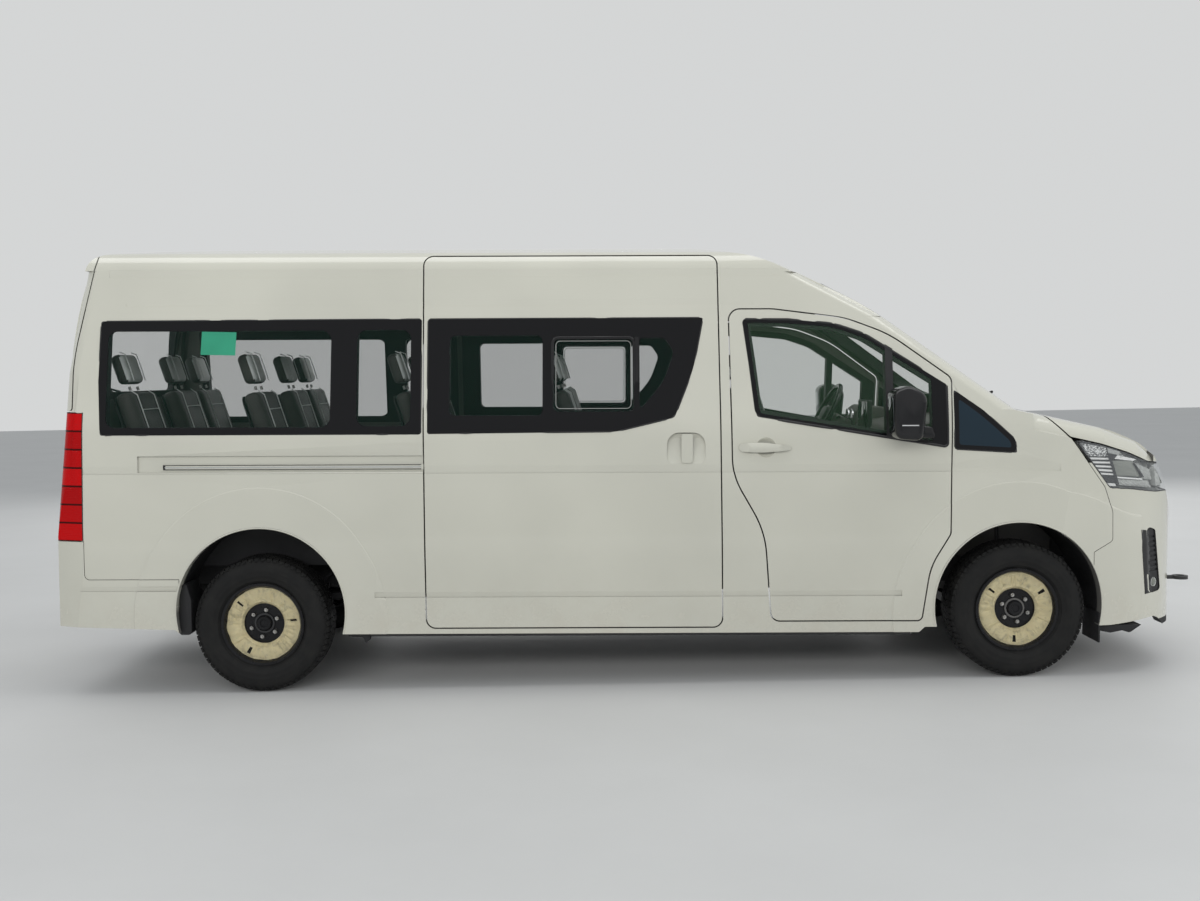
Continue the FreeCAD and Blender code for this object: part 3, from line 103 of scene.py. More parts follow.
CORNER_PANE = [(0.020, 1.771, 0), (0.150, 1.771, 0), (0.196, 1.700, 0), (0.144, 1.552, 0), (0.020, 1.405, 0)]
VENT_FRAME = rectangle((-0.421, -0.008), (1.773, 1.399), 0.03)
VENT_LINE = rectangle((-0.405, -0.024), (1.757, 1.415), 0.022)
DIVISION_BAR = (1.268, 1.306)
LIP_HEIGHT = 0.298
LIP_START = 2.45
QUARTER_END = 1.500
WINDSCREEN = [(-0.822, 1.418, 0), (-0.720, 2.054, 0), (0.720, 2.054, 0), (0.822, 1.418, 0)]
TAIL_GLASS = [(-0.700, 1.985, 0.08), (0.700, 1.985, 0.08), (0.752, 1.465, 0.08), (-0.752, 1.465, 0.08)]
BORDER = 0.036

# Regions that the shaders tell apart, in the same frame
FLANK = 0.62
NOSE_HALF, TAIL_END = 0.6, -2.5
CEILING = 1.93
CABIN_CORE = (-2.2, 1.5)
CABIN_MIDDLE = 1.25


class MinibusSizes(bpy.types.PropertyGroup):
    """Sizes and colours that a user would change."""
    paint: FloatVectorProperty(
        name="Paint", description="Body colour", subtype="COLOR", default=(0.525, 0.518, 0.445),
        min=0, max=1)
    leather: FloatVectorProperty(
        name="Leather", description="Seat colour", subtype="COLOR", default=(0.040, 0.038, 0.034),
        min=0, max=1)
    cover: FloatVectorProperty(
        name="Wheel cover", description="Paper ring over the rim", subtype="COLOR",
        default=(0.86, 0.77, 0.50), min=0, max=1)
    tread_depth: FloatProperty(
        name="Tread depth", description="Depth of the tyre's grooves", unit="LENGTH",
        default=0.009, min=0.001)
    tread_pitches: IntProperty(
        name="Tread pitches", description="Tread blocks round the tyre", default=66, min=12)
    pad_swell: FloatProperty(
        name="Pad swell", description="How far a seat's leather may stand out", unit="LENGTH",
        default=0.016, min=0.001)
    cover_inner: FloatProperty(
        name="Cover hole", description="Radius of the hole in the wheel cover", unit="LENGTH",
        default=0.103, min=0.02)
    cover_outer: FloatProperty(
        name="Cover rim", description="Outer radius of the wheel cover", unit="LENGTH",
        default=0.188, min=0.05)


def sizes():
    return bpy.context.scene.minibus_sizes


# Shaders: expressions on sockets, and one method for any other node

class Wire:
    """An output socket, with the operators that add its Math nodes."""

    def __init__(self, shader, socket):
        self.shader = shader
        self.socket = socket

    def maths(self, operation, *others):
        return self.shader.node("ShaderNodeMath", {"operation": operation},
                                dict(enumerate((self,) + others)))

    def __add__(self, other):
        return self.maths("ADD", other)

    def __radd__(self, other):
        return self.maths("ADD", other)

    def __sub__(self, other):
        return self.maths("SUBTRACT", other)

    def __rsub__(self, other):
        return self.maths("MULTIPLY", -1.0).maths("ADD", other)

    def __mul__(self, other):
        return self.maths("MULTIPLY", other)

    def __rmul__(self, other):
        return self.maths("MULTIPLY", other)

    def __truediv__(self, other):
        return self.maths("DIVIDE", other)

    def __lt__(self, other):
        return self.maths("LESS_THAN", other)

    def __gt__(self, other):
        return self.maths("GREATER_THAN", other)

    def __abs__(self):
        return self.maths("ABSOLUTE")

    def highest(self, other):
        return self.maths("MAXIMUM", other)

    def lowest(self, other):
        return self.maths("MINIMUM", other)

    def ramp(self, low, high):
        """0 at low, 1 at high, straight between, and held beyond."""
        return self.shader.node("ShaderNodeMapRange", {"clamp": True},
                                {"Value": self, "From Min": low, "From Max": high})


class Shader:
    """One material while it is being wired."""

    def __init__(self, name):
        self.material = bpy.data.materials.new(name)
        self.material.use_nodes = True
        self.tree = self.material.node_tree
        self.tree.nodes.clear()

    def node(self, kind, settings=None, sockets=None, output=0):
        node = self.tree.nodes.new(kind)
        for name, value in (settings or {}).items():
            if name == "stops":
                ramp = node.color_ramp
                while len(ramp.elements) < len(value):
                    ramp.elements.new(1.0)
                for element, (position, colour) in zip(ramp.elements, value):
                    element.position = position
                    element.color = (*colour, 1.0)
            else:
                setattr(node, name, value)
        for name, value in (sockets or {}).items():
            if isinstance(value, Wire):
                self.tree.links.new(value.socket, node.inputs[name])
            else:
                node.inputs[name].default_value = value
        return Wire(self, node.outputs[output]) if len(node.outputs) else None

    def place(self):
        return self.node("ShaderNodeTexCoord", output="Object")

    def level(self):
        """Along, across and height in the level body frame, in metres."""
        split = self.node("ShaderNodeSeparateXYZ", sockets={"Vector": self.place()})
        outputs = split.socket.node.outputs
        x, y, z = (Wire(self, outputs[axis]) for axis in ("X", "Y", "Z"))
        cosine, sine = math.cos(LEAN), math.sin(LEAN)
        return x * cosine - z * sine, y, x * sine + z * cosine

    def noise(self, scale, detail=3.0, roughness=0.5, stretch=(1, 1, 1), distortion=0.0):
        place = self.node("ShaderNodeMapping", sockets={"Vector": self.place(), "Scale": stretch})
        return self.node("ShaderNodeTexNoise", sockets={
            "Vector": place, "Scale": scale, "Detail": detail, "Roughness": roughness,
            "Distortion": distortion}, output="Fac")

    def mix(self, factor, first, second):
        """A colour between two others."""
        def colour(value):
            return value if isinstance(value, Wire) else (*value, 1.0)
        return self.node("ShaderNodeMix", {"data_type": "RGBA"},
                         {"Factor": factor, "A": colour(first), "B": colour(second)}, output="Result")

    def bump(self, height, distance, strength=1.0, normal=None):
        sockets = {"Height": height, "Distance": distance, "Strength": strength}
        if normal is not None:
            sockets["Normal"] = normal
        return self.node("ShaderNodeBump", sockets=sockets)

    def principled(self, **sockets):
        named = {name.replace("_", " "): value for name, value in sockets.items()}
        if "Base Color" in named and not isinstance(named["Base Color"], Wire):
            named["Base Color"] = (*named["Base Color"], 1.0)
        return self.node("ShaderNodeBsdfPrincipled", sockets=named)

    def done(self, surface):
        self.node("ShaderNodeOutputMaterial", sockets={"Surface": surface})
        return self.material

    def facing(self):
        """1 where a face looks into the cabin or cavity, 0 where it looks out."""
        x, y, z = self.level()
        normal = self.node("ShaderNodeSeparateXYZ", sockets={
            "Vector": self.node("ShaderNodeTexCoord", output="Normal")})
        outputs = normal.socket.node.outputs
        along = x - x.highest(CABIN_CORE[0]).lowest(CABIN_CORE[1])
        outward = along * Wire(self, outputs["X"]) + y * Wire(self, outputs["Y"])
        outward = outward + (z - CABIN_MIDDLE) * Wire(self, outputs["Z"])
        return outward.ramp(-0.06, -0.14)

    def outline_distance(self, u, v, outline, rounding=0.02):
        """How far outside a convex outline a point lies, in metres."""
        turn = sum(a[0] * b[1] - b[0] * a[1] for a, b in zip(outline, outline[1:] + outline[:1]))
        sense = 1.0 if turn > 0 else -1.0
        furthest = None
        for here, after in zip(outline, outline[1:] + outline[:1]):
            run, rise = after[0] - here[0], after[1] - here[1]
            length = math.hypot(run, rise)
            out_u, out_v = sense * rise / length, -sense * run / length
            distance = u * out_u + v * out_v - (here[0] * out_u + here[1] * out_v)
            if furthest is None:
                furthest = distance
            else:
                furthest = furthest.maths("SMOOTH_MAX", distance, rounding)
        return furthest

    def in_pane(self, u, v, pane):
        """1 inside a rounded upright rectangle."""
        low_u, high_u, low_v, high_v, radius = pane
        over = (abs(u - (low_u + high_u) / 2) - ((high_u - low_u) / 2 - radius)).highest(0.0)
        up = (abs(v - (low_v + high_v) / 2) - ((high_v - low_v) / 2 - radius)).highest(0.0)
        return (over * over + up * up) < radius * radius


def paint_material():
    """Gloss paint outside, black behind the glass, and trim or pale lining on inward faces."""
    shader = Shader("white_gloss_paint")
    x, y, z = shader.level()
    colour = sizes().paint
    dull = tuple(channel * 0.90 for channel in colour)
    outside = shader.mix(shader.noise(1.3, 2.0).ramp(0.35, 0.75), tuple(colour), dull)
    dust = z.ramp(0.62, 0.25) * shader.noise(9.0, 6.0, 0.65).ramp(0.35, 0.7)
    outside = shader.mix(dust * 0.35, outside, (0.42, 0.38, 0.31))
    behind = shader.outline_distance(x, z, REAR_GLASS) < 0.001
    for outline in (SLIDING_GLASS, FRONT_GLASS):
        behind = behind.highest(shader.outline_distance(x, z, outline) < 0.001)
    wing = shader.outline_distance(x, z, WING_BLANK)
    on_flank = abs(y) > FLANK
    behind = behind * on_flank
    blank = (wing < 0.001) * on_flank
    lip = (z < LIP_HEIGHT) * (x > LIP_START)
    screen = (shader.outline_distance(y, z, WINDSCREEN) < 0.004) * (x > NOSE_HALF)
    tail = (shader.outline_distance(y, z, TAIL_GLASS) < 0.002) * (x < TAIL_END)
    behind = behind.highest(screen).highest(tail)
    inner = shader.facing()
    trim = shader.mix((z > CEILING) * 1.0, (0.13, 0.125, 0.115), (0.46, 0.455, 0.43))
    base = shader.mix(inner, outside, trim)
    base = shader.mix(behind.highest(lip), base, (0.012, 0.012, 0.013))
    blue_black = shader.mix(wing < -WING_BORDER, (0.006, 0.006, 0.007), (0.010, 0.022, 0.034))
    base = shader.mix(blank, base, blue_black)
    matte = inner.highest(behind).highest(lip)
    rough = 0.16 + shader.noise(38.0, 3.0) * 0.05 + dust * 0.25 + matte * 0.4 - blank * 0.08
    peel = shader.noise(420.0, 2.0)
    grain = shader.noise(900.0, 2.0)
    surface = shader.principled(
        Base_Color=base, Roughness=rough, IOR=1.5, Coat_Weight=(1.0 - matte) * 0.8, Coat_Roughness=0.06,
        Normal=shader.bump(peel * (1.0 - matte) + grain * matte, 0.00006))
    return shader.done(surface)


def glass_material(name, panes, tint, clearness):
    """Tinted glass with its black border: panes(shader) is 1 where it can be seen through."""
    shader = Shader(name)
    clear = panes(shader)
    x, y, z = shader.level()
    wing = shader.outline_distance(x, z, WING_BLANK) < -WING_BORDER
    border = shader.mix(wing, (0.004, 0.004, 0.005), (0.010, 0.022, 0.033))
    base = shader.mix(clear, border, tint)
    alpha = 1.0 - clear * clearness
    rough = 0.03 + shader.noise(26.0, 4.0).ramp(0.5, 0.9) * 0.05
    return shader.done(shader.principled(
        Base_Color=base, Roughness=rough, Alpha=alpha, IOR=1.52, Specular_IOR_Level=0.22))


def side_clear(shader):
    """The see-through panes of the passenger windows."""
    x, y, z = shader.level()
    clear = shader.in_pane(x, z, SIDE_PANES[0])
    for pane in SIDE_PANES[1:]:
        clear = clear.highest(shader.in_pane(x, z, pane))
    return clear.highest(shader.outline_distance(x, z, CORNER_PANE, 0.03) < 0.0)


def front_clear(shader):
    """The see-through panes of a front door, either side of the division bar."""
    x, y, z = shader.level()
    clear = shader.outline_distance(x, z, FRONT_GLASS) < -0.5 * BORDER
    bar = (x > DIVISION_BAR[0]) * (x < DIVISION_BAR[1])
    return clear * (1.0 - bar) * (x < QUARTER_END)


def screen_clear(shader):
    """The windscreen inside its black border."""
    x, y, z = shader.level()
    return shader.outline_distance(y, z, WINDSCREEN, 0.06) < -BORDER


def tail_clear(shader):
    """The tailgate's glass inside its black border."""
    x, y, z = shader.level()
    return shader.outline_distance(y, z, TAIL_GLASS, 0.06) < -BORDER


def plain_material(name, colour, rough, grain_scale=300.0, grain=0.0001, spread=0.12, metal=0.0, coat=0.0,
                   patches=3.0, gleam=0.5):
    """A moulded, cast or painted surface with its own grain, patches and worn shine."""
    shader = Shader(name)
    light = tuple(min(1.0, channel * (1 + spread) + 0.004) for channel in colour)
    dark = tuple(channel * (1 - spread) for channel in colour)
    base = shader.mix(shader.noise(patches, 5.0, 0.6).ramp(0.3, 0.7), dark, light)
    roughness = rough + (shader.noise(patches * 6, 4.0) - 0.5) * 0.16
    surface = shader.principled(
        Base_Color=base, Roughness=roughness, Metallic=metal, Coat_Weight=coat, Specular_IOR_Level=gleam,
        Normal=shader.bump(shader.noise(grain_scale, 3.0), grain))
    return shader.done(surface)


def leather_material(name, colour):
    """Soft grained leather with a dry sheen and scuffs."""
    shader = Shader(name)
    cells = shader.node("ShaderNodeTexVoronoi", {"feature": "DISTANCE_TO_EDGE"},
                        {"Vector": shader.place(), "Scale": 420.0}, "Distance")
    wear = shader.noise(7.0, 5.0, 0.6).ramp(0.45, 0.8)
    base = shader.mix(wear * 0.5, tuple(colour), tuple(channel * 1.9 + 0.01 for channel in colour))
    height = cells.ramp(0.0, 0.12) * 0.7 + shader.noise(60.0, 3.0) * 0.6
    return shader.done(shader.principled(
        Base_Color=base, Roughness=0.36 + wear * 0.18 + shader.noise(90.0) * 0.08,
        Normal=shader.bump(height, 0.0004), Sheen_Weight=0.08))


def rubber_material():
    """Tyre rubber: faint mould rings, dust in the grooves, a dull sheen."""
    shader = Shader("tyre_rubber")
    dust = shader.noise(16.0, 6.0, 0.65).ramp(0.45, 0.75)
    base = shader.mix(dust * 0.4, (0.008, 0.008, 0.008), (0.034, 0.033, 0.030))
    return shader.done(shader.principled(
        Base_Color=base, Roughness=0.58 + dust * 0.25, Specular_IOR_Level=0.26,
        Normal=shader.bump(shader.noise(240.0, 3.0), 0.0003)))


def cover_material():
    """Crumpled protective paper: warm tan, with painted shade in its folds."""
    shader = Shader("crumpled_paper")
    folds = shader.noise(24.0, 6.0, 0.7, distortion=0.6)
    tan = sizes().cover
    # Darker tan in the fold hollows: painted shade
    fold_shade = tuple(channel * 0.66 for channel in tan)
    base = shader.mix(folds.ramp(0.32, 0.50), fold_shade, tuple(tan))
    return shader.done(shader.principled(
        Base_Color=base, Roughness=0.62 + folds * 0.2, Normal=shader.bump(folds, 0.004, 0.8),
        Sheen_Weight=0.1))


def lens_material(name, colour, alpha):
    """Clear or tinted lamp cover with faint flow marks."""
    shader = Shader(name)
    flow = shader.noise(18.0, 2.0)
    return shader.done(shader.principled(
        Base_Color=colour, Roughness=0.03 + flow * 0.03, Alpha=alpha, IOR=1.5, Coat_Weight=0.5))


def mottled_material():
    """Moulded facets of a lamp's side: bright and dark flecks, painted glints and painted dark reflections of
    the facets.
    """
    shader = Shader("mottled_silver")
    glint_flecks = shader.noise(95.0, 3.0, 0.6, stretch=(1.0, 1.0, 1.8)).ramp(0.44, 0.56)
    # Bright and dark flecks in the colour: painted glints and painted dark reflections
    base = shader.mix(glint_flecks, (0.07, 0.07, 0.07), (0.70, 0.71, 0.69))
    return shader.done(shader.principled(
        Base_Color=base, Roughness=0.2 + glint_flecks * 0.1, Normal=shader.bump(glint_flecks, 0.001)))


LENS_FOOT = 0.752
LENS_PITCH = 0.093


def tail_lens_material():
    """Red lamp lens in bands, with dark moulded lines between and fine flutes."""
    shader = Shader("tail_lens_red")
    x, y, z = shader.level()
    phase = ((z - LENS_FOOT) / LENS_PITCH).maths("FRACT")
    line = (phase < 0.05).highest(phase > 0.95)
    flutes = (z * 700.0).maths("SINE") * 0.5 + 0.5
    band = ((z - LENS_FOOT) / LENS_PITCH).maths("FLOOR").maths("MODULO", 3.0) / 3.0
    glow = shader.mix(band, (0.46, 0.004, 0.005), (0.30, 0.003, 0.004))
    base = shader.mix(line, glow, (0.05, 0.003, 0.003))
    return shader.done(shader.principled(
        Base_Color=base, Roughness=0.10 + line * 0.2, IOR=1.4, Specular_IOR_Level=0.14,
        Normal=shader.bump(flutes * (1.0 - line) - line, 0.0004)))


def floor_material():
    """Pale smooth floor that keeps the shadow."""
    shader = Shader("pale_floor")
    base = shader.mix(shader.noise(0.7, 6.0, 0.6), (0.50, 0.50, 0.49), (0.58, 0.58, 0.57))
    return shader.done(shader.principled(Base_Color=base, Roughness=0.55))


MATERIALS = {}


def make_materials():
    """Every finish, once, by a plain name."""
    MATERIALS.update({
        "paint": paint_material(),
        "side_glass": glass_material("privacy_glass", side_clear, (0.010, 0.030, 0.022), 0.83),
        "door_glass": glass_material("door_glass", front_clear, (0.05, 0.11, 0.06), 0.88),
        "screen": glass_material("windscreen_glass", screen_clear, (0.05, 0.09, 0.07), 0.90),
        "tail_glass": glass_material("tailgate_glass", tail_clear, (0.06, 0.11, 0.08), 0.90),
        "black_gloss": plain_material("black_gloss", (0.006, 0.006, 0.007), 0.14, 500.0, 0.00004, gleam=0.4),
        "black_plastic": plain_material("black_moulding", (0.017, 0.017, 0.018), 0.52, 700.0, 0.0003,
                                        gleam=0.35),
        "trim": plain_material("cabin_trim", (0.090, 0.086, 0.080), 0.62, 800.0, 0.0003),
        "pale_trim": plain_material("pale_trim", (0.42, 0.41, 0.37), 0.66, 800.0, 0.0003),
        "vinyl": plain_material("floor_vinyl", (0.10, 0.10, 0.10), 0.55, 160.0, 0.0006, patches=9.0),
        "chassis": plain_material("chassis_black", (0.022, 0.022, 0.023), 0.46, 140.0, 0.0005, patches=11.0),
        "cast": plain_material("cast_metal", (0.17, 0.165, 0.16), 0.55, 90.0, 0.0012, metal=0.7),
        "steel": plain_material("plated_steel", (0.55, 0.54, 0.52), 0.32, 220.0, 0.0002, metal=1.0,
                                patches=20.0),
        "exhaust": plain_material("exhaust_steel", (0.30, 0.27, 0.24), 0.42, 120.0, 0.0005, 0.3, metal=0.9),
        "rim": plain_material("rim_black", (0.007, 0.007, 0.008), 0.28, 420.0, 0.00008, gleam=0.22),
        "chrome": plain_material("bright_chrome", (0.78, 0.79, 0.80), 0.08, 60.0, 0.00002, 0.04, metal=1.0),
        "leather": leather_material("seat_leather", sizes().leather),
        # Grey leather for the piping, and a painted sheen on the headrests' front faces
        "grey_leather": leather_material("grey_leather", (0.70, 0.73, 0.70)),
        "rubber": rubber_material(),
        "seal": plain_material("rubber_seal", (0.013, 0.013, 0.014), 0.48, 500.0, 0.0002),
        "cover": cover_material(),
        "lamp_lens": lens_material("lamp_lens", (0.85, 0.88, 0.90), 0.10),
        "smoked": lens_material("smoked_lens", (0.16, 0.17, 0.145), 0.96),
        "silver": plain_material("lamp_silver", (0.62, 0.63, 0.61), 0.22, 60.0, 0.00002, 0.05, metal=1.0),
        "lamp_bowl": plain_material("lamp_bowl", (0.36, 0.37, 0.35), 0.20, 60.0, 0.00002, 0.18, patches=26.0),
        "mottled": mottled_material(),
        # Mirror glass given a dark colour: a painted dark reflection
        "mirror_face": plain_material("mirror_face", (0.16, 0.17, 0.18), 0.02, 60.0, 0.000001, 0.02,
                                      metal=1.0),
        "webbing": plain_material("belt_webbing", (0.035, 0.035, 0.036), 0.75, 900.0, 0.0004),
        "blank": plain_material("blank_plate", (0.62, 0.62, 0.60), 0.35, 300.0, 0.00005, 0.04),
        "red_lens": lens_material("red_lens", (0.42, 0.010, 0.012), 0.97),
        "tail_lens": tail_lens_material(),
        "green_label": plain_material("green_label", (0.02, 0.26, 0.15), 0.4, 300.0, 0.00005),
        "screen_face": plain_material("display_face", (0.008, 0.010, 0.014), 0.12, 300.0, 0.00002, coat=0.5),
        "floor": floor_material(),
    })


NODE_FINISH = {
    "paint": ("side_panel_right", "side_panel_left", "roof_panel", "sliding_door", "front_bumper",
              "rear_bumper", "front_door_left", "front_door_right", "tailgate", "bonnet", "slide_rail",
              "door_handle_left", "door_handle_right", "sliding_door_handle"),
    "lamp_lens": ("headlamps",),
    "steel": ("headrest_posts",),
    "side_glass": ("side_glass", "sliding_door_glass"),
    "door_glass": ("door_glass_left", "door_glass_right"),
    "screen": ("windscreen",),
    "tail_glass": ("tailgate_glass",),
    "tail_lens": ("tail_lamps",),
    "black_plastic": ("grille", "wheelhouses", "antenna_fin", "scuttle"),
    "black_gloss": ("mirror_left", "mirror_right", "steering_wheel"),
    "trim": ("dashboard", "bulkhead"),
    "vinyl": ("floor_pan",),
    "chassis": ("ladder_frame", "rear_axle", "suspension", "propshaft", "seat_frames", "fuel_tank",
                "tow_eye"),
    "cast": ("engine_block", "knuckle_left", "knuckle_right"),
    "exhaust": ("exhaust",),
    "rim": ("rim_front_left", "rim_front_right", "rim_rear_left", "rim_rear_right"),
    "rubber": ("spare_wheel",),
}


# Mesh helpers. Forms are made in the level body frame and leaned when they are finished.

SHARP_EDGE = math.radians(38)
BEVELLED_EDGE = math.radians(50)
WELD = 1e-5


def linked(name, data):
    """A new object in the scene."""
    thing = bpy.data.objects.new(name, data)
    bpy.context.scene.collection.objects.link(thing)
    return thing


def evaluated(holder):
    """A plain mesh of an object with its modifiers carried out; the object goes."""
    bpy.context.view_layer.update()
    graph = bpy.context.evaluated_depsgraph_get()
    mesh = bpy.data.meshes.new_from_object(holder.evaluated_get(graph))
    bpy.data.objects.remove(holder)
    return mesh


def mesh_of(form, name):
    """A bmesh as a mesh, with its normals facing outward."""
    bmesh.ops.recalc_face_normals(form, faces=form.faces)
    mesh = bpy.data.meshes.new(name)
    form.to_mesh(mesh)
    form.free()
    return mesh


# The slot that goes with a finish, where it isn't black plastic
SLOTS = {
    "paint": "white_paint", "trim": "cabin_trim", "chassis": "chassis_black", "steel": "bright_steel",
    "silver": "bright_steel", "chrome": "bright_steel", "blank": "lamp_lens", "leather": "dark_leather",
    "grey_leather": "dark_leather", "red_lens": "tail_lens", "tail_lens": "tail_lens",
}


def piece(name, mesh, material, body=SHELL, slot=None, smooth=True, leaned=True, replaced=()):
    """A finished object at the origin that rides on a body."""
    if leaned:
        mesh.transform(LEANED)
    thing = linked(name, mesh)
    if not mesh.materials:
        mesh.materials.append(MATERIALS[material])
    if smooth:
        mesh.shade_smooth()
        mesh.set_sharp_from_angle(angle=SHARP_EDGE)
    if replaced:
        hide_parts(*replaced)
    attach(thing, body)
    slot or SLOTS.get(material, "black_plastic")
    return thing


def fitting(name, form, *finish, **more):
    """A piece made from a bmesh."""
    return piece(name, mesh_of(form, name), *finish, **more)


def tube(name, points, radius, material, body=SHELL, slot=None, **shape):
    """A piece made of one pipe."""
    return piece(name, pipe(points, radius, **shape), material, body, slot)


def moved(form, matrix):
    """A bmesh carried by a matrix."""
    bmesh.ops.transform(form, matrix=matrix, verts=form.verts)
    return form


def lofted(form, rows, closed=False):
    """Quads between neighbouring rows of vertices."""
    for here, after in zip(rows, rows[1:]):
        for index in range(len(here) if closed else len(here) - 1):
            on = (index + 1) % len(here)
            form.faces.new((here[index], here[on], after[on], after[index]))


def around(radius, angle, across):
    """A place about the Y axis, by its angle from the top."""
    return radius * math.sin(angle), across, radius * math.cos(angle)


def between(side, inner, outer):
    """Low and high value across, for two distances from the middle on one side."""
    return tuple(sorted((side * inner, side * outer)))


def rounded(outline, step=0.18):
    """Points of a closed outline whose corners are arcs."""
    points = []
    count = len(outline)
    for index in range(count):
        u, v, radius = outline[index]
        before, after = outline[index - 1], outline[(index + 1) % count]
        corner = Vector((u, v))
        back = Vector((before[0] - u, before[1] - v))
        on = Vector((after[0] - u, after[1] - v))
        angle = back.angle(on)
        if radius <= 0 or math.pi - angle < 1e-3:
            points.append(corner)
            continue
        tangent = min(radius / math.tan(angle / 2), 0.49 * back.length, 0.49 * on.length)
        radius = tangent * math.tan(angle / 2)
        middle = (back.normalized() + on.normalized()).normalized()
        centre = corner + middle * (radius / math.sin(angle / 2))
        start = corner + back.normalized() * tangent - centre
        end = corner + on.normalized() * tangent - centre
        sweep = start.angle_signed(end)
        pieces = max(2, int(abs(sweep) / step))
        for part in range(pieces + 1):
            turned = start.copy()
            turned.rotate(Matrix.Rotation(-sweep * part / pieces, 2))
            points.append(centre + turned)
    return points


def slab(outline, low, high, plane="xz", bevel=0.0, segments=3):
    """A flat outline given a thickness across its plane, with softened edges."""
    axes = {
        "xz": lambda u, v, w: (u, w, v),
        "yz": lambda u, v, w: (w, u, v),
        "xy": lambda u, v, w: (u, v, w),
    }
    form = bmesh.new()
    rings = [[form.verts.new(axes[plane](point[0], point[1], depth)) for point in rounded(outline)]
             for depth in (low, high)]
    for ring in rings:
        form.faces.new(ring)
    lofted(form, rings, closed=True)
    bmesh.ops.remove_doubles(form, verts=form.verts, dist=WELD)
    bmesh.ops.recalc_face_normals(form, faces=form.faces)
    if bevel > 0:
        rims = [edge for edge in form.edges
                if len(edge.link_faces) == 2 and edge.calc_face_angle(0.0) > BEVELLED_EDGE]
        bmesh.ops.bevel(form, geom=rims, offset=bevel, segments=segments, profile=0.5, affect="EDGES",
                        clamp_overlap=True)
    return form


def brick(x, y, z, bevel=0.004):
    """A box between low and high values, with softened edges."""
    return slab(rectangle(x, z, 0), y[0], y[1], "xz", bevel, 2)


def joined(*parts):
    """Several bmeshes or meshes as one bmesh; the parts are used up."""
    whole = bmesh.new()
    for part in parts:
        mesh = part
        if isinstance(part, bmesh.types.BMesh):
            mesh = bpy.data.meshes.new("joining")
            part.to_mesh(mesh)
            part.free()
        whole.from_mesh(mesh)
        bpy.data.meshes.remove(mesh)
    return whole


def turned(profile, steps, closed=False):
    """A profile of (radius, across) points turned about the Y axis."""
    form = bmesh.new()
    rings = [[form.verts.new(around(radius, math.tau * step / steps, across)) for radius, across in profile]
             for step in range(steps)]
    lofted(form, rings + rings[:1], closed)
    return form


def pipe(points, radius, closed=False, sides=8, flat=1.0):
    """A round or flattened tube along points, as a mesh."""
    curve = bpy.data.curves.new("pipe", "CURVE")
    curve.dimensions = "3D"
    spline = curve.splines.new("POLY")
    spline.points.add(len(points) - 1)
    for spot, point in zip(spline.points, points):
        spot.co = (*point, 1.0)
    spline.use_cyclic_u = closed
    curve.bevel_depth = radius
    curve.bevel_resolution = sides // 4 - 1
    curve.use_fill_caps = not closed
    holder = bpy.data.objects.new("pipe", curve)
    mesh = bpy.data.meshes.new_from_object(holder)
    bpy.data.objects.remove(holder)
    bpy.data.curves.remove(curve)
    if flat != 1.0:
        middle = sum((vertex.co for vertex in mesh.vertices), Vector()) / len(mesh.vertices)
        for vertex in mesh.vertices:
            vertex.co.y = middle.y + (vertex.co.y - middle.y) * flat
    return mesh


SKINS = {}
SKIN_NODES = {
    "side": ("side_panel_right", "side_panel_left", "roof_panel", "sliding_door", "front_door_left",
             "front_door_right", "side_glass", "sliding_door_glass", "door_glass_left", "door_glass_right",
             "front_bumper", "rear_bumper", "bonnet", "grille", "headlamps", "tail_lamps", "slide_rail"),
    "walls": ("side_panel_right", "side_panel_left", "roof_panel", "sliding_door", "front_door_left",
              "front_door_right"),
    "nose": ("windscreen", "scuttle", "roof_panel", "bonnet", "front_bumper", "grille", "headlamps"),
    "tail": ("tailgate", "tailgate_glass", "rear_bumper", "tail_lamps", "roof_panel"),
    "lamps": ("headlamps",),
}


def cast(kind, start, way):
    """Where a line first meets a group of CAD pieces, and the outward normal there, in the level frame."""
    if kind not in SKINS:
        form = bmesh.new()
        for name in SKIN_NODES[kind]:
            form.from_mesh(frame["nodes"][name].data)
        SKINS[kind] = BVHTree.FromBMesh(moved(form, LEVEL))
        form.free()
    start, way = Vector(start), Vector(way).normalized()
    hit, normal = SKINS[kind].ray_cast(start, way)[:2]
    if hit is None:
        return None
    return hit, (normal if normal.dot(way) < 0 else -normal)


def side_spot(side):
    """Along and height to a place on the body's side."""
    return lambda u, v: cast("side", (u, side * 1.6, v), (0, -side, 0))


def wall_spot(side):
    """Along and height to a place on the cabin's inner wall."""
    return lambda u, v: cast("walls", (u, side * 0.3, v), (0, side, 0))


def nose_spot(u, v):
    """Across and height to a place on the screen or nose."""
    return cast("nose", (4.0, u, v), (-1, 0, 0))


def tail_spot(u, v):
    """Across and height to a place on the tail."""
    return cast("tail", (-4.0, u, v), (1, 0, 0))


def roof_spot(u, v):
    """Along and across to a place on the cabin's ceiling."""
    return cast("walls", (u, v, 1.6), (0, 0, 1))


LAMP_AXIS = 2.2


def lamp_spot(side):
    """Degrees round the lamp and height to a place on its cover."""
    def spot(angle, height):
        turn = math.radians(angle)
        way = Vector((-math.cos(turn), -side * math.sin(turn), 0))
        return cast("lamps", Vector((LAMP_AXIS, 0, height)) - way * 3.0, way)
    return spot


HALF_WIDTH = 0.97


def on_side(x, z, side, proud=0.0):
    """The body's surface abreast of a point, in the level frame."""
    found = side_spot(side)(x, z)
    return Vector((x, found[0].y + side * proud if found else side * (HALF_WIDTH + proud), z))


def lifted(found, proud):
    """A place on a surface, moved out along its normal."""
    return found[0] + found[1] * proud


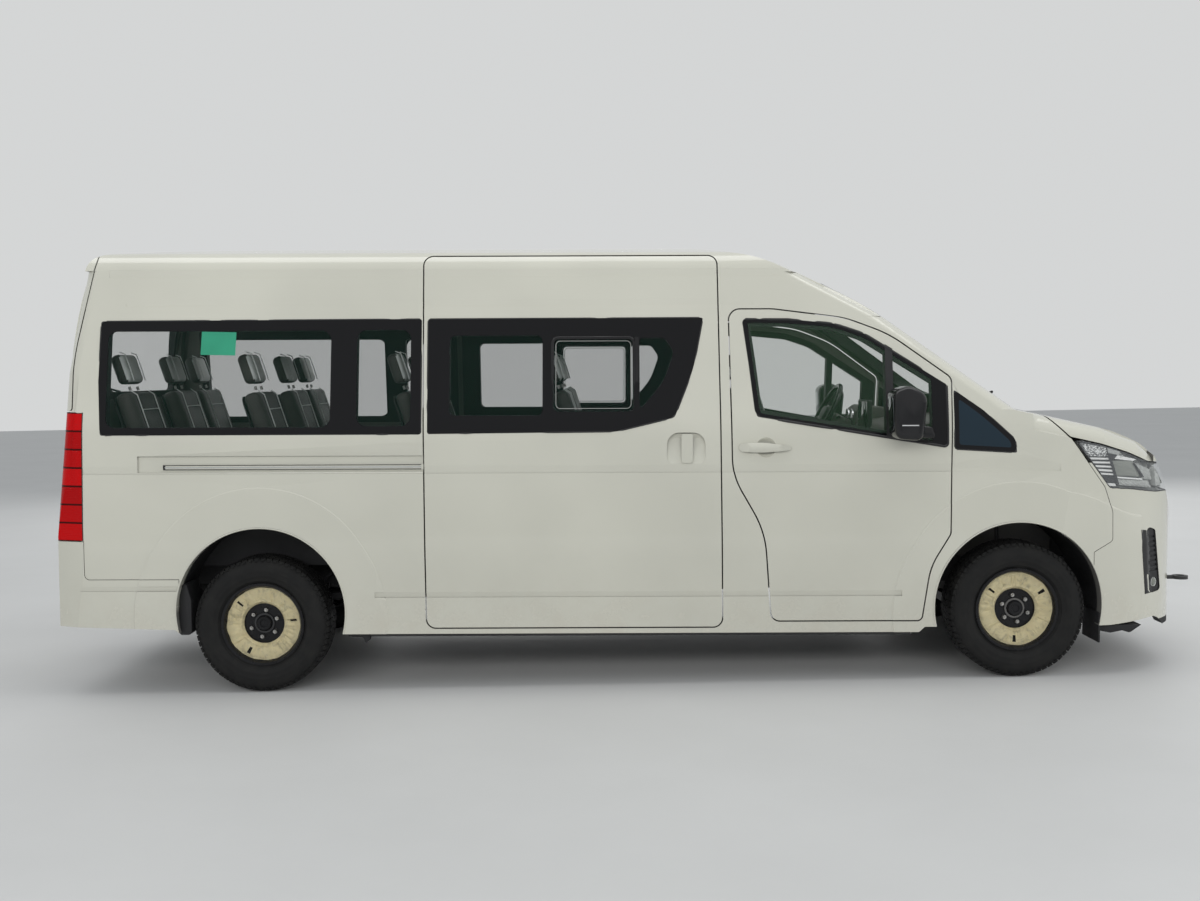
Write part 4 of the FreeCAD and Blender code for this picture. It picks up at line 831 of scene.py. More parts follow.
def patch(spot, corners, near, far, cells=(12, 6), bulge=0.0, facet=0.0):
    """A plate laid on a surface: four (u, v) corners, and its face's and back's depth below the surface."""
    columns, rows = cells
    first, second, third, fourth = (Vector(corner) for corner in corners)
    spots = [[spot(*first.lerp(second, i / columns).lerp(fourth.lerp(third, i / columns), j / rows))
              for i in range(columns + 1)] for j in range(rows + 1)]
    found = next(place for line in spots for place in line if place is not None)
    form = bmesh.new()
    face, back = [], []
    for j, line in enumerate(spots):
        face.append([])
        back.append([])
        for i, place in enumerate(line):
            found = place or found
            s, t = i / columns, j / rows
            rise = bulge * (math.sin(math.pi * s) * math.sin(math.pi * t)) ** 0.5
            rise += facet * ((i + j) % 2)
            face[j].append(form.verts.new(lifted(found, rise - near)))
            back[j].append(form.verts.new(lifted(found, -far)))
    lofted(form, face)
    lofted(form, back)
    for j in (0, rows):
        for i in range(columns):
            form.faces.new((face[j][i], back[j][i], back[j][i + 1], face[j][i + 1]))
    for i in (0, columns):
        for j in range(rows):
            form.faces.new((face[j][i], back[j][i], back[j + 1][i], face[j + 1][i]))
    return form


def facing_out(place, normal):
    """A move that brings a turned piece to a place, with its Y axis on a normal."""
    return Matrix.Translation(place) @ Vector(normal).to_track_quat("Y", "Z").to_matrix().to_4x4()


def spaced(points, step):
    """Points along a closed run, no further apart than a step."""
    out = []
    for here, after in zip(points, points[1:] + points[:1]):
        parts = max(1, int((after - here).length / step))
        out += [here.lerp(after, part / parts) for part in range(parts)]
    return out


def draped(outline, side, proud, step=0.05):
    """A closed outline laid on the body's side."""
    return [on_side(u, v, side, proud) for u, v in spaced(rounded(outline), step)]


def wired(tree, kinds, wires):
    """Nodes made and joined up: kinds by a short name, and wires as (from, output, to, input)."""
    nodes = {}
    for name, (kind, *operation) in kinds.items():
        nodes[name] = tree.nodes.new(kind)
        if operation:
            nodes[name].operation = operation[0]
    for source, output, target, socket in wires:
        tree.links.new(nodes[source].outputs[output], nodes[target].inputs[socket])
    return nodes


def repeat_tree():
    """Geometry nodes: copies of a unit, each turned and stepped on from the last."""
    tree = bpy.data.node_groups.new("repeat_unit", "GeometryNodeTree")
    for name, kind in (("Geometry", "Geometry"), ("Count", "Int"), ("Turn", "Vector"), ("Step", "Vector"),
                       ("Material", "Material")):
        tree.interface.new_socket(name, in_out="INPUT", socket_type=f"NodeSocket{kind}")
    tree.interface.new_socket("Geometry", in_out="OUTPUT", socket_type="NodeSocketGeometry")
    wired(tree, {
        "start": ("NodeGroupInput",),
        "points": ("GeometryNodePoints",),
        "index": ("GeometryNodeInputIndex",),
        "angle": ("ShaderNodeVectorMath", "SCALE"),
        "step": ("ShaderNodeVectorMath", "SCALE"),
        "move": ("GeometryNodeSetPosition",),
        "copies": ("GeometryNodeInstanceOnPoints",),
        "turn": ("FunctionNodeEulerToRotation",),
        "real": ("GeometryNodeRealizeInstances",),
        "dress": ("GeometryNodeSetMaterial",),
        "end": ("NodeGroupOutput",),
    }, [
        ("start", "Count", "points", "Count"), ("start", "Turn", "angle", 0), ("index", 0, "angle", "Scale"),
        ("start", "Step", "step", 0), ("index", 0, "step", "Scale"), ("points", 0, "move", "Geometry"),
        ("step", 0, "move", "Offset"), ("move", 0, "copies", "Points"),
        ("start", "Geometry", "copies", "Instance"), ("angle", 0, "turn", 0),
        ("turn", 0, "copies", "Rotation"), ("copies", 0, "real", 0), ("real", 0, "dress", "Geometry"),
        ("start", "Material", "dress", "Material"), ("dress", 0, "end", 0),
    ])
    return tree


def repeated(unit, count, material, turn=(0, 0, 0), step=(0, 0, 0)):
    """The unit mesh copied by the tree, as one plain mesh."""
    tree = bpy.data.node_groups.get("repeat_unit") or repeat_tree()
    holder = linked("row", unit)
    modifier = holder.modifiers.new("repeat", "NODES")
    modifier.node_group = tree
    values = {"Count": count, "Turn": turn, "Step": step, "Material": MATERIALS[material]}
    for item in tree.interface.items_tree:
        if item.in_out == "INPUT" and item.name in values:
            modifier[item.identifier] = values[item.name]
    holder.update_tag()
    return evaluated(holder)


# Wheels

def wheel_piece(name, corner, mesh, material, slot, **more):
    """A piece on a wheel, made about the origin for the left side and brought to its own."""
    low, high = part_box(f"tyre_{corner}")
    centre = (low + high) / 2
    side = 1.0 if centre.y > 0 else -1.0
    mesh.transform(Matrix.Translation(centre) @ Matrix.Diagonal((1, side, 1, 1)))
    if side < 0:
        mesh.flip_normals()
    return piece(f"{name}_{corner}", mesh, material, f"wheel_{corner}", slot, leaned=False, **more)


TYRE_RADIUS = 0.347
TYRE_SHAPE = [
    # radius, across from the wheel plane towards the outside
    (0.2035, -0.081), (0.2035, 0.081), (0.2160, 0.0900), (0.2250, 0.0955), (0.2275, 0.1010),
    (0.2330, 0.1020), (0.2480, 0.1110), (0.2530, 0.1135), (0.2560, 0.1130), (0.2740, 0.1168),
    (0.2780, 0.1175), (0.2820, 0.1168), (0.2990, 0.1152), (0.3110, 0.1120), (0.3150, 0.1085),
    (0.3260, 0.1040), (0.3335, 0.0960), (0.3375, 0.0850), (0.3375, -0.0850), (0.3335, -0.0960),
    (0.3260, -0.1040), (0.3110, -0.1120), (0.2780, -0.1170), (0.2530, -0.1130), (0.2330, -0.1020),
    (0.2160, -0.0900),
]
TREAD_RIBS = [
    # across from, across to, slant, share of the pitch, fall at the outer edge
    (-0.098, -0.066, 0.10, 0.80, 0.006), (-0.060, -0.026, 0.30, 0.84, 0.0),
    (-0.020, 0.020, -0.28, 0.86, 0.0), (0.026, 0.060, 0.30, 0.84, 0.0), (0.066, 0.098, 0.10, 0.80, 0.006),
]
SHOULDER = 0.09
BAR_ANGLES = (0.02, 0.062)


def add_block(form, points, quads):
    """Eight points joined as a block."""
    corners = [form.verts.new(point) for point in points]
    for quad in quads:
        form.faces.new([corners[index] for index in quad])


def tread_unit():
    """One pitch of tread: five ribs of slanted blocks, and a bar over each shoulder."""
    top = TYRE_RADIUS - 0.0004
    base = top - sizes().tread_depth
    pitch = math.tau * TYRE_RADIUS / sizes().tread_pitches
    form = bmesh.new()
    for low, high, slant, share, fall in TREAD_RIBS:
        length = pitch * share
        run = ((low, 0.0), (high, slant * pitch), (high, slant * pitch + length), (low, length))
        add_block(form, [
            around(radius - (fall if abs(across) > SHOULDER else 0.0), along / TYRE_RADIUS, across)
            for radius in (base, top) for across, along in run
        ], ((3, 2, 1, 0), (4, 5, 6, 7), (0, 1, 5, 4), (1, 2, 6, 5), (2, 3, 7, 6), (3, 0, 4, 7)))
    for side in (-1, 1):
        inner, outer = side * 0.0985, side * 0.1085
        section = ((0.3395, inner), (0.3270, outer), (0.3235, outer - side * 0.006),
                   (0.3300, inner - side * 0.010))
        add_block(form, [around(radius, angle, across) for angle in BAR_ANGLES for radius, across in section],
                  ((0, 1, 2, 3), (7, 6, 5, 4), (0, 4, 5, 1), (1, 5, 6, 2), (2, 6, 7, 3), (3, 7, 4, 0)))
    return mesh_of(form, "tread_unit")


def make_tyres():
    """Each tyre: a turned carcass with moulded rings, and its tread blocks."""
    pitches = sizes().tread_pitches
    for corner in WHEELS:
        carcass = turned(TYRE_SHAPE, 96, closed=True)
        tread = repeated(tread_unit(), pitches, "rubber", turn=(0, math.tau / pitches, 0))
        mesh = mesh_of(joined(carcass, tread), "tyre")
        mesh.materials.clear()
        wheel_piece("tyre_rubber", corner, mesh, "rubber", "tyre_rubber", replaced=(f"tyre_{corner}",))


# Front wheels first, then rear: degrees from the top, towards the front
NUT_PHASE = (-10, 10)
COVER_SLOTS = [(-52, 57, 183), (-48, 84, 209)]
# Half width of a slot as the sine of half its angle, and the shares of the ring it runs between
SLOT_WIDTH = 0.018
SLOT_RUN = (0.43, 0.80)
PAPER_THICKNESS = 0.0008
NUT_SHAPE = [(0.0, 0.030), (0.0125, 0.030), (0.0125, 0.046), (0.0100, 0.051), (0.0, 0.052)]
STUD_SHAPE = [(0.0, 0.048), (0.0062, 0.048), (0.0062, 0.060), (0.0050, 0.0615), (0.0, 0.0615)]
NUT_PLACE = (0.0, 0.010, 0.0698)
CAP_SHAPE = [
    (0.0, 0.062), (0.018, 0.0615), (0.020, 0.066), (0.024, 0.068), (0.034, 0.067), (0.040, 0.060),
    (0.043, 0.046), (0.046, 0.041), (0.0, 0.041),
]


def ripple(angle, reach, height):
    """Noise round a ring: the longer the reach, the more waves."""
    return noise.noise(Vector((math.cos(angle) * reach, math.sin(angle) * reach, height)))


def cover_mesh(seed):
    """A wrinkled paper ring over the rim with three slots, standing out from the wheel plane."""
    inner, outer = sizes().cover_inner, sizes().cover_outer
    rings, steps = 22, 180
    slots = [math.radians(angle) for angle in COVER_SLOTS[seed // 2]]
    form = bmesh.new()
    grid = []
    for step in range(steps):
        angle = math.tau * step / steps
        row = []
        for ring in range(rings + 1):
            share = ring / rings
            radius = inner + (outer - inner) * share + ripple(angle, 4, seed * 3.7 + 20) * 0.004 * share
            crown = 0.012 * math.sin(math.pi * min(1.0, share * 1.02 + 0.01)) ** 0.8
            crown += 0.009 * math.exp(-((share - 0.13) / 0.09) ** 2)
            pleat = ripple(angle, 9, seed + share * 1.2)
            crease = abs(ripple(angle, 16, seed + 7 + share))
            lift = crown + (pleat * 0.008 - crease * 0.008) * math.sin(math.pi * share) ** 0.7
            stand = 0.051 + 0.019 * share
            row.append(form.verts.new(around(radius, angle, stand + lift)))
        grid.append(row)
    for step, here in enumerate(grid):
        angle = math.tau * (step + 0.5) / steps
        at_slot = any(abs(math.sin((angle - slot) / 2)) < SLOT_WIDTH for slot in slots)
        after = grid[(step + 1) % steps]
        for ring in range(rings):
            if not (at_slot and SLOT_RUN[0] < (ring + 0.5) / rings < SLOT_RUN[1]):
                form.faces.new((here[ring], here[ring + 1], after[ring + 1], after[ring]))
    return form


def make_wheel_covers():
    """Protective paper rings, wheel nuts and hub caps."""
    for number, corner in enumerate(WHEELS):
        sheet = cover_mesh(number)
        bmesh.ops.solidify(sheet, geom=sheet.faces, thickness=PAPER_THICKNESS)
        wheel_piece("wheel_cover", corner, mesh_of(sheet, "cover"), "cover", "cabin_trim")
        unit = mesh_of(joined(turned(NUT_SHAPE, 6), turned(STUD_SHAPE, 10)), "nut")
        unit.transform(Matrix.Translation(NUT_PLACE))
        nuts = repeated(unit, 6, "steel", turn=(0, math.tau / 6, 0))
        nuts.transform(Matrix.Rotation(math.radians(NUT_PHASE[number // 2]), 4, "Y"))
        wheel_piece("wheel_nuts", corner, nuts, "steel", "cast_metal")
        wheel_piece("hub_cap", corner, mesh_of(turned(CAP_SHAPE, 40), "cap"), "rim", "rim_steel")


# Windows

def make_window_seals():
    """Rubber beads round the glass, laid on the body's surface."""
    for name, side in SIDES.items():
        for label, outline, body, radius in (
            ("rear_window_seal", REAR_GLASS, SHELL, 0.0045),
            ("wing_blank_seal", WING_BLANK, SHELL, 0.004),
            ("middle_window_seal", SLIDING_GLASS, SHELL, 0.0045),
            ("front_window_seal", FRONT_GLASS, f"front_door_{name}_leaf", 0.007),
        ):
            tube(f"{label}_{name}", draped(outline, side, -0.001, 0.06), radius, "seal", body, closed=True)
        tube(f"vent_frame_{name}", draped(VENT_FRAME, side, 0.001), 0.0075, "black_gloss", closed=True,
             flat=0.5)
        tube(f"vent_lining_{name}", draped(VENT_LINE, side, 0.003), 0.0022, "silver", slot="black_plastic",
             closed=True)
        bar = [on_side(0.006, height, side, 0.001) for height in (1.40, 1.50, 1.60, 1.70, 1.775)]
        tube(f"vent_bar_{name}", bar, 0.010, "black_gloss", flat=0.4)


# Lamps

LAMP_INSIDES = [
    # finish, whether it keeps flat facets, and its plates in groups of one form:
    # depth of face and back, bulge, facet, cells, and four corners each as (degrees round, height)
    ("mottled", True, [
        (0.012, 0.030, 0.0, 0.002, (16, 8), [[(86.3, 1.229), (78.4, 1.208), (77.6, 1.160), (83.9, 1.164)]]),
    ]),
    ("silver", False, [
        (0.014, 0.028, 0.0, 0.0, (12, 2), [[(77.8, 1.204), (71.0, 1.174), (72.3, 1.160), (77.4, 1.178)]]),
    ]),
    ("blank", False, [
        (0.010, 0.034, 0.0, 0.0, (8, 1), [
            [(83.7, 1.157), (77.3, 1.153), (77.1, 1.144), (83.2, 1.147)],
            [(82.8, 1.137), (76.9, 1.133), (76.7, 1.124), (82.3, 1.127)],
            [(81.8, 1.117), (76.5, 1.112), (76.3, 1.103), (81.3, 1.107)],
            [(80.9, 1.098), (76.1, 1.092), (75.9, 1.082), (80.4, 1.087)],
            [(80.0, 1.078), (75.7, 1.072), (75.5, 1.064), (79.6, 1.069)],
        ]),
        (0.010, 0.030, 0.0, 0.0, (8, 1), [[(77.9, 1.025), (74.8, 1.021), (74.6, 1.008), (77.2, 1.010)]]),
        (0.008, 0.040, 0.0, 0.0, (14, 2), [[(74.4, 1.166), (67.0, 1.142), (68.2, 1.134), (75.4, 1.148)]]),
        (0.006, 0.034, 0.0, 0.0, (14, 1), [[(74.5, 1.057), (64.3, 1.042), (64.2, 1.034), (74.3, 1.049)]]),
    ]),
    ("black_gloss", False, [
        (0.016, 0.034, 0.0, 0.0, (8, 1), [
            [(83.4, 1.1465), (77.0, 1.1435), (76.9, 1.1335), (82.9, 1.1375)],
            [(82.4, 1.1265), (76.6, 1.1235), (76.5, 1.1125), (81.9, 1.1175)],
            [(81.4, 1.1065), (76.2, 1.1025), (76.1, 1.0925), (81.0, 1.0985)],
            [(80.5, 1.0865), (75.8, 1.0815), (75.7, 1.0725), (80.1, 1.0785)],
        ]),
        (0.012, 0.036, 0.0, 0.0, (8, 1), [[(79.5, 1.062), (75.4, 1.056), (74.9, 1.026), (78.0, 1.030)]]),
        (0.005, 0.038, 0.0, 0.0, (1, 12), [[(77.6, 1.170), (76.9, 1.170), (73.6, 1.016), (74.4, 1.014)]]),
        (0.004, 0.038, 0.0, 0.0, (4, 4), [[(78.0, 1.180), (74.5, 1.168), (76.1, 1.140), (77.1, 1.134)]]),
        (0.004, 0.040, 0.0, 0.0, (1, 8), [[(68.3, 1.122), (67.8, 1.122), (63.6, 1.050), (64.1, 1.048)]]),
    ]),
    ("smoked", False, [
        (0.014, 0.046, 0.008, 0.0, (18, 9), [[(76.2, 1.138), (68.4, 1.138), (64.7, 1.050), (74.4, 1.062)]]),
        (0.010, 0.040, 0.006, 0.0, (10, 8), [[(53.5, 1.086), (46.5, 1.088), (46.0, 1.014), (52.8, 1.012)]]),
    ]),
    ("lamp_bowl", True, [
        (0.020, 0.046, 0.006, 0.003, (16, 4), [[(73.9, 1.044), (60.6, 1.028), (58.5, 0.990), (73.3, 1.012)]]),
        (0.018, 0.046, 0.004, 0.004, (7, 5), [[(67.0, 1.124), (60.0, 1.086), (58.6, 1.030), (63.4, 1.040)]]),
        (0.022, 0.048, 0.008, 0.003, (14, 7), [[(57.0, 1.100), (42.0, 1.104), (41.0, 1.000), (55.5, 0.996)]]),
    ]),
]
# Share of the height, and depth behind the cover
BOWL_PROFILE = ((0.0, 0.005), (0.03, 0.034), (0.12, 0.050), (0.5, 0.053), (0.88, 0.050), (0.97, 0.034),
                (1.0, 0.005))


def lamp_outline(side):
    """The lamp cover's lowest and highest place, column by column from the nose to its rear edge."""
    columns = []
    for step in range(78):
        places = [lamp_spot(side)(32.0 + step * 0.75, 0.955 + row * 0.004) for row in range(80)]
        places = [place for place in places if place is not None]
        if len(places) > 3:
            columns.append((places[0], places[-1]))
    return columns


def make_headlamps():
    """What the clear covers show: silvered bowls, ribs, dark dividers and the smoked lenses."""
    for name, side in SIDES.items():
        spot = lamp_spot(side)
        columns = lamp_outline(side)
        form = bmesh.new()
        rows = []
        for low, high in columns:
            row = []
            for share, depth in BOWL_PROFILE:
                point = low[0].lerp(high[0], share)
                angle = math.degrees(math.atan2(side * point.y, point.x - LAMP_AXIS))
                row.append(form.verts.new(lifted(spot(angle, point.z) or low, -depth)))
            rows.append(row)
        lofted(form, rows)
        bmesh.ops.solidify(form, geom=form.faces, thickness=0.001)
        fitting(f"headlamp_bowl_{name}", form, "lamp_bowl", SHELL, "lamp_lens")
        edge = [high for low, high in columns] + [low for low, high in columns[::-1]]
        tube(f"headlamp_edge_{name}", [lifted(place, -0.0035) for place in edge], 0.0042, "seal", closed=True)
        for finish, faceted, groups in LAMP_INSIDES:
            forms = [patch(spot, corners, near, far, cells, bulge, facet)
                     for near, far, bulge, facet, cells, plates in groups for corners in plates]
            fitting(f"headlamp_{finish}_{name}" + ("_facets" if faceted else ""), joined(*forms), finish,
                    SHELL, "lamp_lens", smooth=not faceted)


def round_piece(name, found, profile, material, body=SHELL, slot=None, steps=36):
    """A turned fitting standing on a surface along its normal; the profile's offsets run outward."""
    fitting(name, moved(turned(profile, steps), facing_out(*found)), material, body, slot)


TAIL_WRAP = [(-2.862, 1.402), (-2.802, 1.402), (-2.805, 0.755), (-2.826, 0.755)]
NOSE_VENT = [(2.604, 0.778), (2.660, 0.770), (2.690, 0.446), (2.638, 0.440)]
PLATE_LAMP = (-2.9195, 0.12)


def make_small_lamps():
    """Fog lamps, rear reflectors, tail-lamp wraps, nose vents, the high stop lamp and plate lamps."""
    for name, side in SIDES.items():
        found = side_spot(side)(2.705, 0.495)
        round_piece(f"fog_bezel_{name}", found, [
            (0.0, -0.004), (0.026, -0.004), (0.026, 0.001), (0.023, 0.003), (0.020, 0.001), (0.018, -0.001),
            (0.0, -0.001)], "silver", SHELL, "lamp_lens")
        round_piece(f"fog_lens_{name}", found, [
            (0.0, 0.001), (0.0185, 0.0005), (0.0170, 0.003), (0.010, 0.0055), (0.0, 0.0065)],
            "smoked", SHELL, "lamp_lens")
        corners = rectangle((side * 0.62, side * 0.80), (0.500, 0.462))
        fitting(f"reflector_{name}", patch(tail_spot, corners, -0.005, 0.004, (10, 2), 0.001), "red_lens")
        fitting(f"tail_lamp_wrap_{name}", patch(side_spot(side), TAIL_WRAP, -0.0016, 0.004, (8, 24)),
                "tail_lens")
        edge = [on_side(-2.801 - 0.003 * step / 12, 1.404 - 0.0542 * step, side, 0.0008)
                for step in range(13)]
        tube(f"tail_lamp_edge_{name}", edge, 0.0026, "seal")
        fitting(f"vent_surround_{name}", patch(side_spot(side), NOSE_VENT, -0.0014, 0.003, (5, 20)),
                "black_gloss")
    stop = patch(tail_spot, rectangle((-0.17, 0.17), (2.070, 2.042)), -0.007, 0.004, (20, 3), 0.002)
    fitting("high_stop_lamp", stop, "red_lens", "tailgate_leaf")
    x, across = PLATE_LAMP
    for name, side in SIDES.items():
        lamp = brick((x - 0.006, x + 0.02), (side * across - 0.03, side * across + 0.03), (1.2455, 1.2615),
                     0.003)
        fitting(f"plate_lamp_{name}", lamp, "blank", "tailgate_leaf")


# Outer fittings

def ribbon(points, across, width, thickness):
    """A flat strap along points; across is its width's direction."""
    form = bmesh.new()
    rings = []
    across = Vector(across).normalized()
    for index, point in enumerate(points):
        before, after = points[max(0, index - 1)], points[min(len(points) - 1, index + 1)]
        up = across.cross((after - before).normalized()).normalized()
        rings.append([form.verts.new(point + across * (width / 2 * a) + up * (thickness / 2 * b))
                      for a, b in ((-1, -1), (1, -1), (1, 1), (-1, 1))])
    lofted(form, rings, closed=True)
    form.faces.new(rings[0])
    form.faces.new(rings[-1])
    return form


def arc_points(x, z, radius, start, end, steps=72):
    """Places round a wheel arch: degrees from straight up, towards the front."""
    for step in range(steps + 1):
        angle = math.radians(start + (end - start) * step / steps)
        yield x + radius * math.sin(angle), z + radius * math.cos(angle)


ARCHES = [
    # name, along and height of the centre, first and last degree from the top
    ("front", 1.9475, 0.4007, -106, 104),
    ("rear", -1.9125, 0.3836, -101, 104),
]
ARCH_RADIUS = 0.430
RAIL_HEIGHT = 1.124
RAIL_RUN = (-2.385, -2.20, -2.0, -1.8, -1.6, -1.4, -1.2, -1.088)
MIRROR_CASE = [(1.262, 1.265, 0.045), (1.400, 1.255, 0.040), (1.420, 1.480, 0.060), (1.330, 1.529, 0.060),
               (1.251, 1.500, 0.045)]
MIRROR_ARM = [(1.330, 1.262, 0.015), (1.500, 1.262, 0.015), (1.480, 1.320, 0.015), (1.340, 1.330, 0.015)]
MIRROR_OUT = 1.2035
# The mirror's glass leans back: metres along for each metre up, about the height of its middle
MIRROR_SHEAR, MIRROR_MIDDLE = 0.0468, 1.39
REAR_FLAP = [(-2.338, 0.262, 0.01), (-2.276, 0.262, 0.02), (-2.276, 0.440, 0.02), (-2.310, 0.560, 0.02),
             (-2.336, 0.470, 0)]
FRONT_TRAY = [(2.378, 0.292, 0), (2.600, 0.292, 0), (2.540, 0.250, 0.02), (2.500, 0.262, 0.01),
              (2.440, 0.250, 0.01), (2.378, 0.262, 0)]
SILL_BRACKET = [(-1.475, 0.272, 0), (-1.360, 0.272, 0), (-1.366, 0.232, 0.01), (-1.392, 0.210, 0.008),
                (-1.398, 0.244, 0.01), (-1.475, 0.250, 0)]
GREEN_LABEL = [(-2.208, 1.812), (-2.032, 1.808), (-2.036, 1.690), (-2.212, 1.694)]


def make_low_trim(name, side):
    """Arch flanges, sill seam, mud flaps, tray and bracket of one side."""
    for end, x, z, start, stop in ARCHES:
        points = []
        for u, v in arc_points(x, z, ARCH_RADIUS + 0.003, start, stop):
            found = side_spot(side)(u, v)
            if found is not None and abs(found[0].y) > 0.85:
                points.append(Vector((u, found[0].y - side * 0.0005, v)))
        tube(f"arch_flange_{end}_{name}", points, 0.0045, "paint")
    seam = brick((-1.36, 1.405), (side * 0.925 - 0.002, side * 0.925 + 0.002), (0.252, 0.275), 0.001)
    fitting(f"sill_seam_{name}", seam, "chassis")
    foot = slab(REAR_FLAP, *between(side, 0.72, 0.925), "xz", 0.004, 2)
    fitting(f"rear_flap_{name}", foot, "black_plastic")
    flap = brick((2.366, 2.376), between(side, 0.70, 0.93), (0.205, 0.36), 0.003)
    fitting(f"front_flap_{name}", flap, "black_plastic")
    tray = slab(FRONT_TRAY, *between(side, 0.40, 0.90), "xz", 0.003, 2)
    fitting(f"front_tray_{name}", tray, "black_plastic")
    hanger = slab(SILL_BRACKET, side * 0.90 - 0.02, side * 0.90 + 0.02, "xz", 0.002)
    fitting(f"sill_bracket_{name}", hanger, "black_plastic")


def make_mirror(name, side):
    """A rounded case on its arm, glass on its rear face and a chrome line."""
    leaf = f"front_door_{name}_leaf"
    case = slab(MIRROR_CASE, *between(side, 1.012, MIRROR_OUT), "xz", 0.030, 6)
    root = abs(side_spot(side)(1.42, 1.29)[0].y) - 0.004
    arm = slab(MIRROR_ARM, *between(side, root, 1.040), "xz", 0.012, 3)
    fitting(f"mirror_case_{name}", joined(case, arm), "black_gloss", leaf, replaced=(f"mirror_{name}",))
    glass = slab([(side * 1.046, 1.306, 0.03), (side * 1.168, 1.306, 0.03), (side * 1.168, 1.474, 0.04),
                  (side * 1.046, 1.474, 0.03)], 1.2545, 1.2605, "yz", 0.001, 2)
    shear = Matrix.Identity(4)
    shear[0][2], shear[0][3] = -MIRROR_SHEAR, MIRROR_SHEAR * MIRROR_MIDDLE
    fitting(f"mirror_glass_{name}", moved(glass, shear), "mirror_face", leaf, "lamp_lens")
    out = side * MIRROR_OUT
    line = brick((1.290, 1.372), (out - 0.0012, out + 0.0012), (1.330, 1.3355), 0.0006)
    fitting(f"mirror_line_{name}", line, "chrome", leaf, "black_plastic")


def make_plates():
    """Blank number plates, and the front one's holder."""
    plate = slab(rectangle((-0.214, 0.214), (1.053, 1.187), 0.012), -2.9225, -2.9190, "yz", 0.001, 2)
    fitting("rear_plate_blank", plate, "blank", "tailgate_leaf")
    plate = patch(nose_spot, rectangle((-0.22, 0.22), (0.865, 0.752)), -0.012, -0.006, (16, 3))
    fitting("front_plate_blank", plate, "blank")
    holder = patch(nose_spot, rectangle((-0.235, 0.235), (0.875, 0.742)), -0.007, 0.004, (16, 3))
    fitting("front_plate_holder", holder, "black_plastic")


def make_wipers():
    """Two arms on the windscreen and one on the tailgate, each with its blade and pivot."""
    for label, pivot, elbow, tip in (("left", 0.60, 0.33, -0.04), ("right", -0.04, -0.30, -0.66)):
        root, grip = nose_spot(pivot, 1.4125), nose_spot(elbow, 1.474)
        bend = nose_spot((pivot + elbow) / 2, 1.440)
        tube(f"wiper_arm_{label}", [lifted(root, 0.008), lifted(bend, 0.014), lifted(grip, 0.015)], 0.0055,
             "black_plastic")
        start = pivot - 0.02
        blade = [lifted(nose_spot(start + (tip - start) * share, 1.462 + 0.020 * share), 0.0075)
                 for share in (part / 8 for part in range(9))]
        tube(f"wiper_blade_{label}", blade, 0.0075, "black_plastic")
        round_piece(f"wiper_pivot_{label}", root, [
            (0.0, -0.004), (0.016, -0.004), (0.014, 0.001), (0.010, 0.002), (0.0, 0.0025)],
            "black_plastic", steps=20)
    root = tail_spot(0.0, 1.452)
    bend, grip = tail_spot(-0.16, 1.490), tail_spot(-0.30, 1.520)
    arm = [lifted(root, 0.010), lifted(bend, 0.020), lifted(grip, 0.018)]
    tube("rear_wiper_arm", arm, 0.006, "black_plastic", "tailgate_leaf")
    blade = [lifted(tail_spot(-0.10 - 0.04 * part, 1.500 + 0.004 * part), 0.009) for part in range(10)]
    tube("rear_wiper_blade", blade, 0.006, "black_plastic", "tailgate_leaf")
    round_piece("rear_wiper_pivot", root, [(0.0, -0.004), (0.020, -0.004), (0.018, 0.012), (0.0, 0.018)],
                "black_plastic", "tailgate_leaf", steps=20)


def make_side_details():
    """Fuel flap outline on the left quarter, and on the right the slide rail's edges and the green label."""
    left, right = SIDES["left"], SIDES["right"]
    flap = rectangle((-1.62, -1.43), (1.060, 0.880), 0.03)
    tube("fuel_flap_line", draped(flap, left, 0.0002), 0.0018, "seal", closed=True)
    edges = [pipe([on_side(u, RAIL_HEIGHT + rise, right, -0.0006) for u in RAIL_RUN], 0.0022)
             for rise in (-0.0105, 0.0105)]
    fitting("rail_edges", joined(*edges), "seal")
    strip = [on_side(u, RAIL_HEIGHT, right, 0.0008) for u in RAIL_RUN]
    tube("rail_strip", strip, 0.0045, "silver", flat=0.35)
    end = on_side(RAIL_RUN[0], RAIL_HEIGHT, right)
    stop = brick((end.x - 0.010, end.x + 0.004), (end.y - 0.002, end.y + 0.012),
                 (RAIL_HEIGHT - 0.013, RAIL_HEIGHT + 0.013), 0.003)
    fitting("rail_end_stop", stop, "seal")
    label = patch(side_spot(right), GREEN_LABEL, -0.0012, -0.0002, (8, 4))
    fitting("window_label_blank", label, "green_label")


def make_outer_fittings():
    """Everything small on the outside, apart from seals and lamps."""
    for name, side in SIDES.items():
        make_low_trim(name, side)
        make_mirror(name, side)
    make_plates()
    make_wipers()
    make_side_details()


TAIL_ROOM = ((-3.00, -2.60), (-0.745, 0.745), (1.40, 2.035))
PANEL_EDGE = math.radians(15)


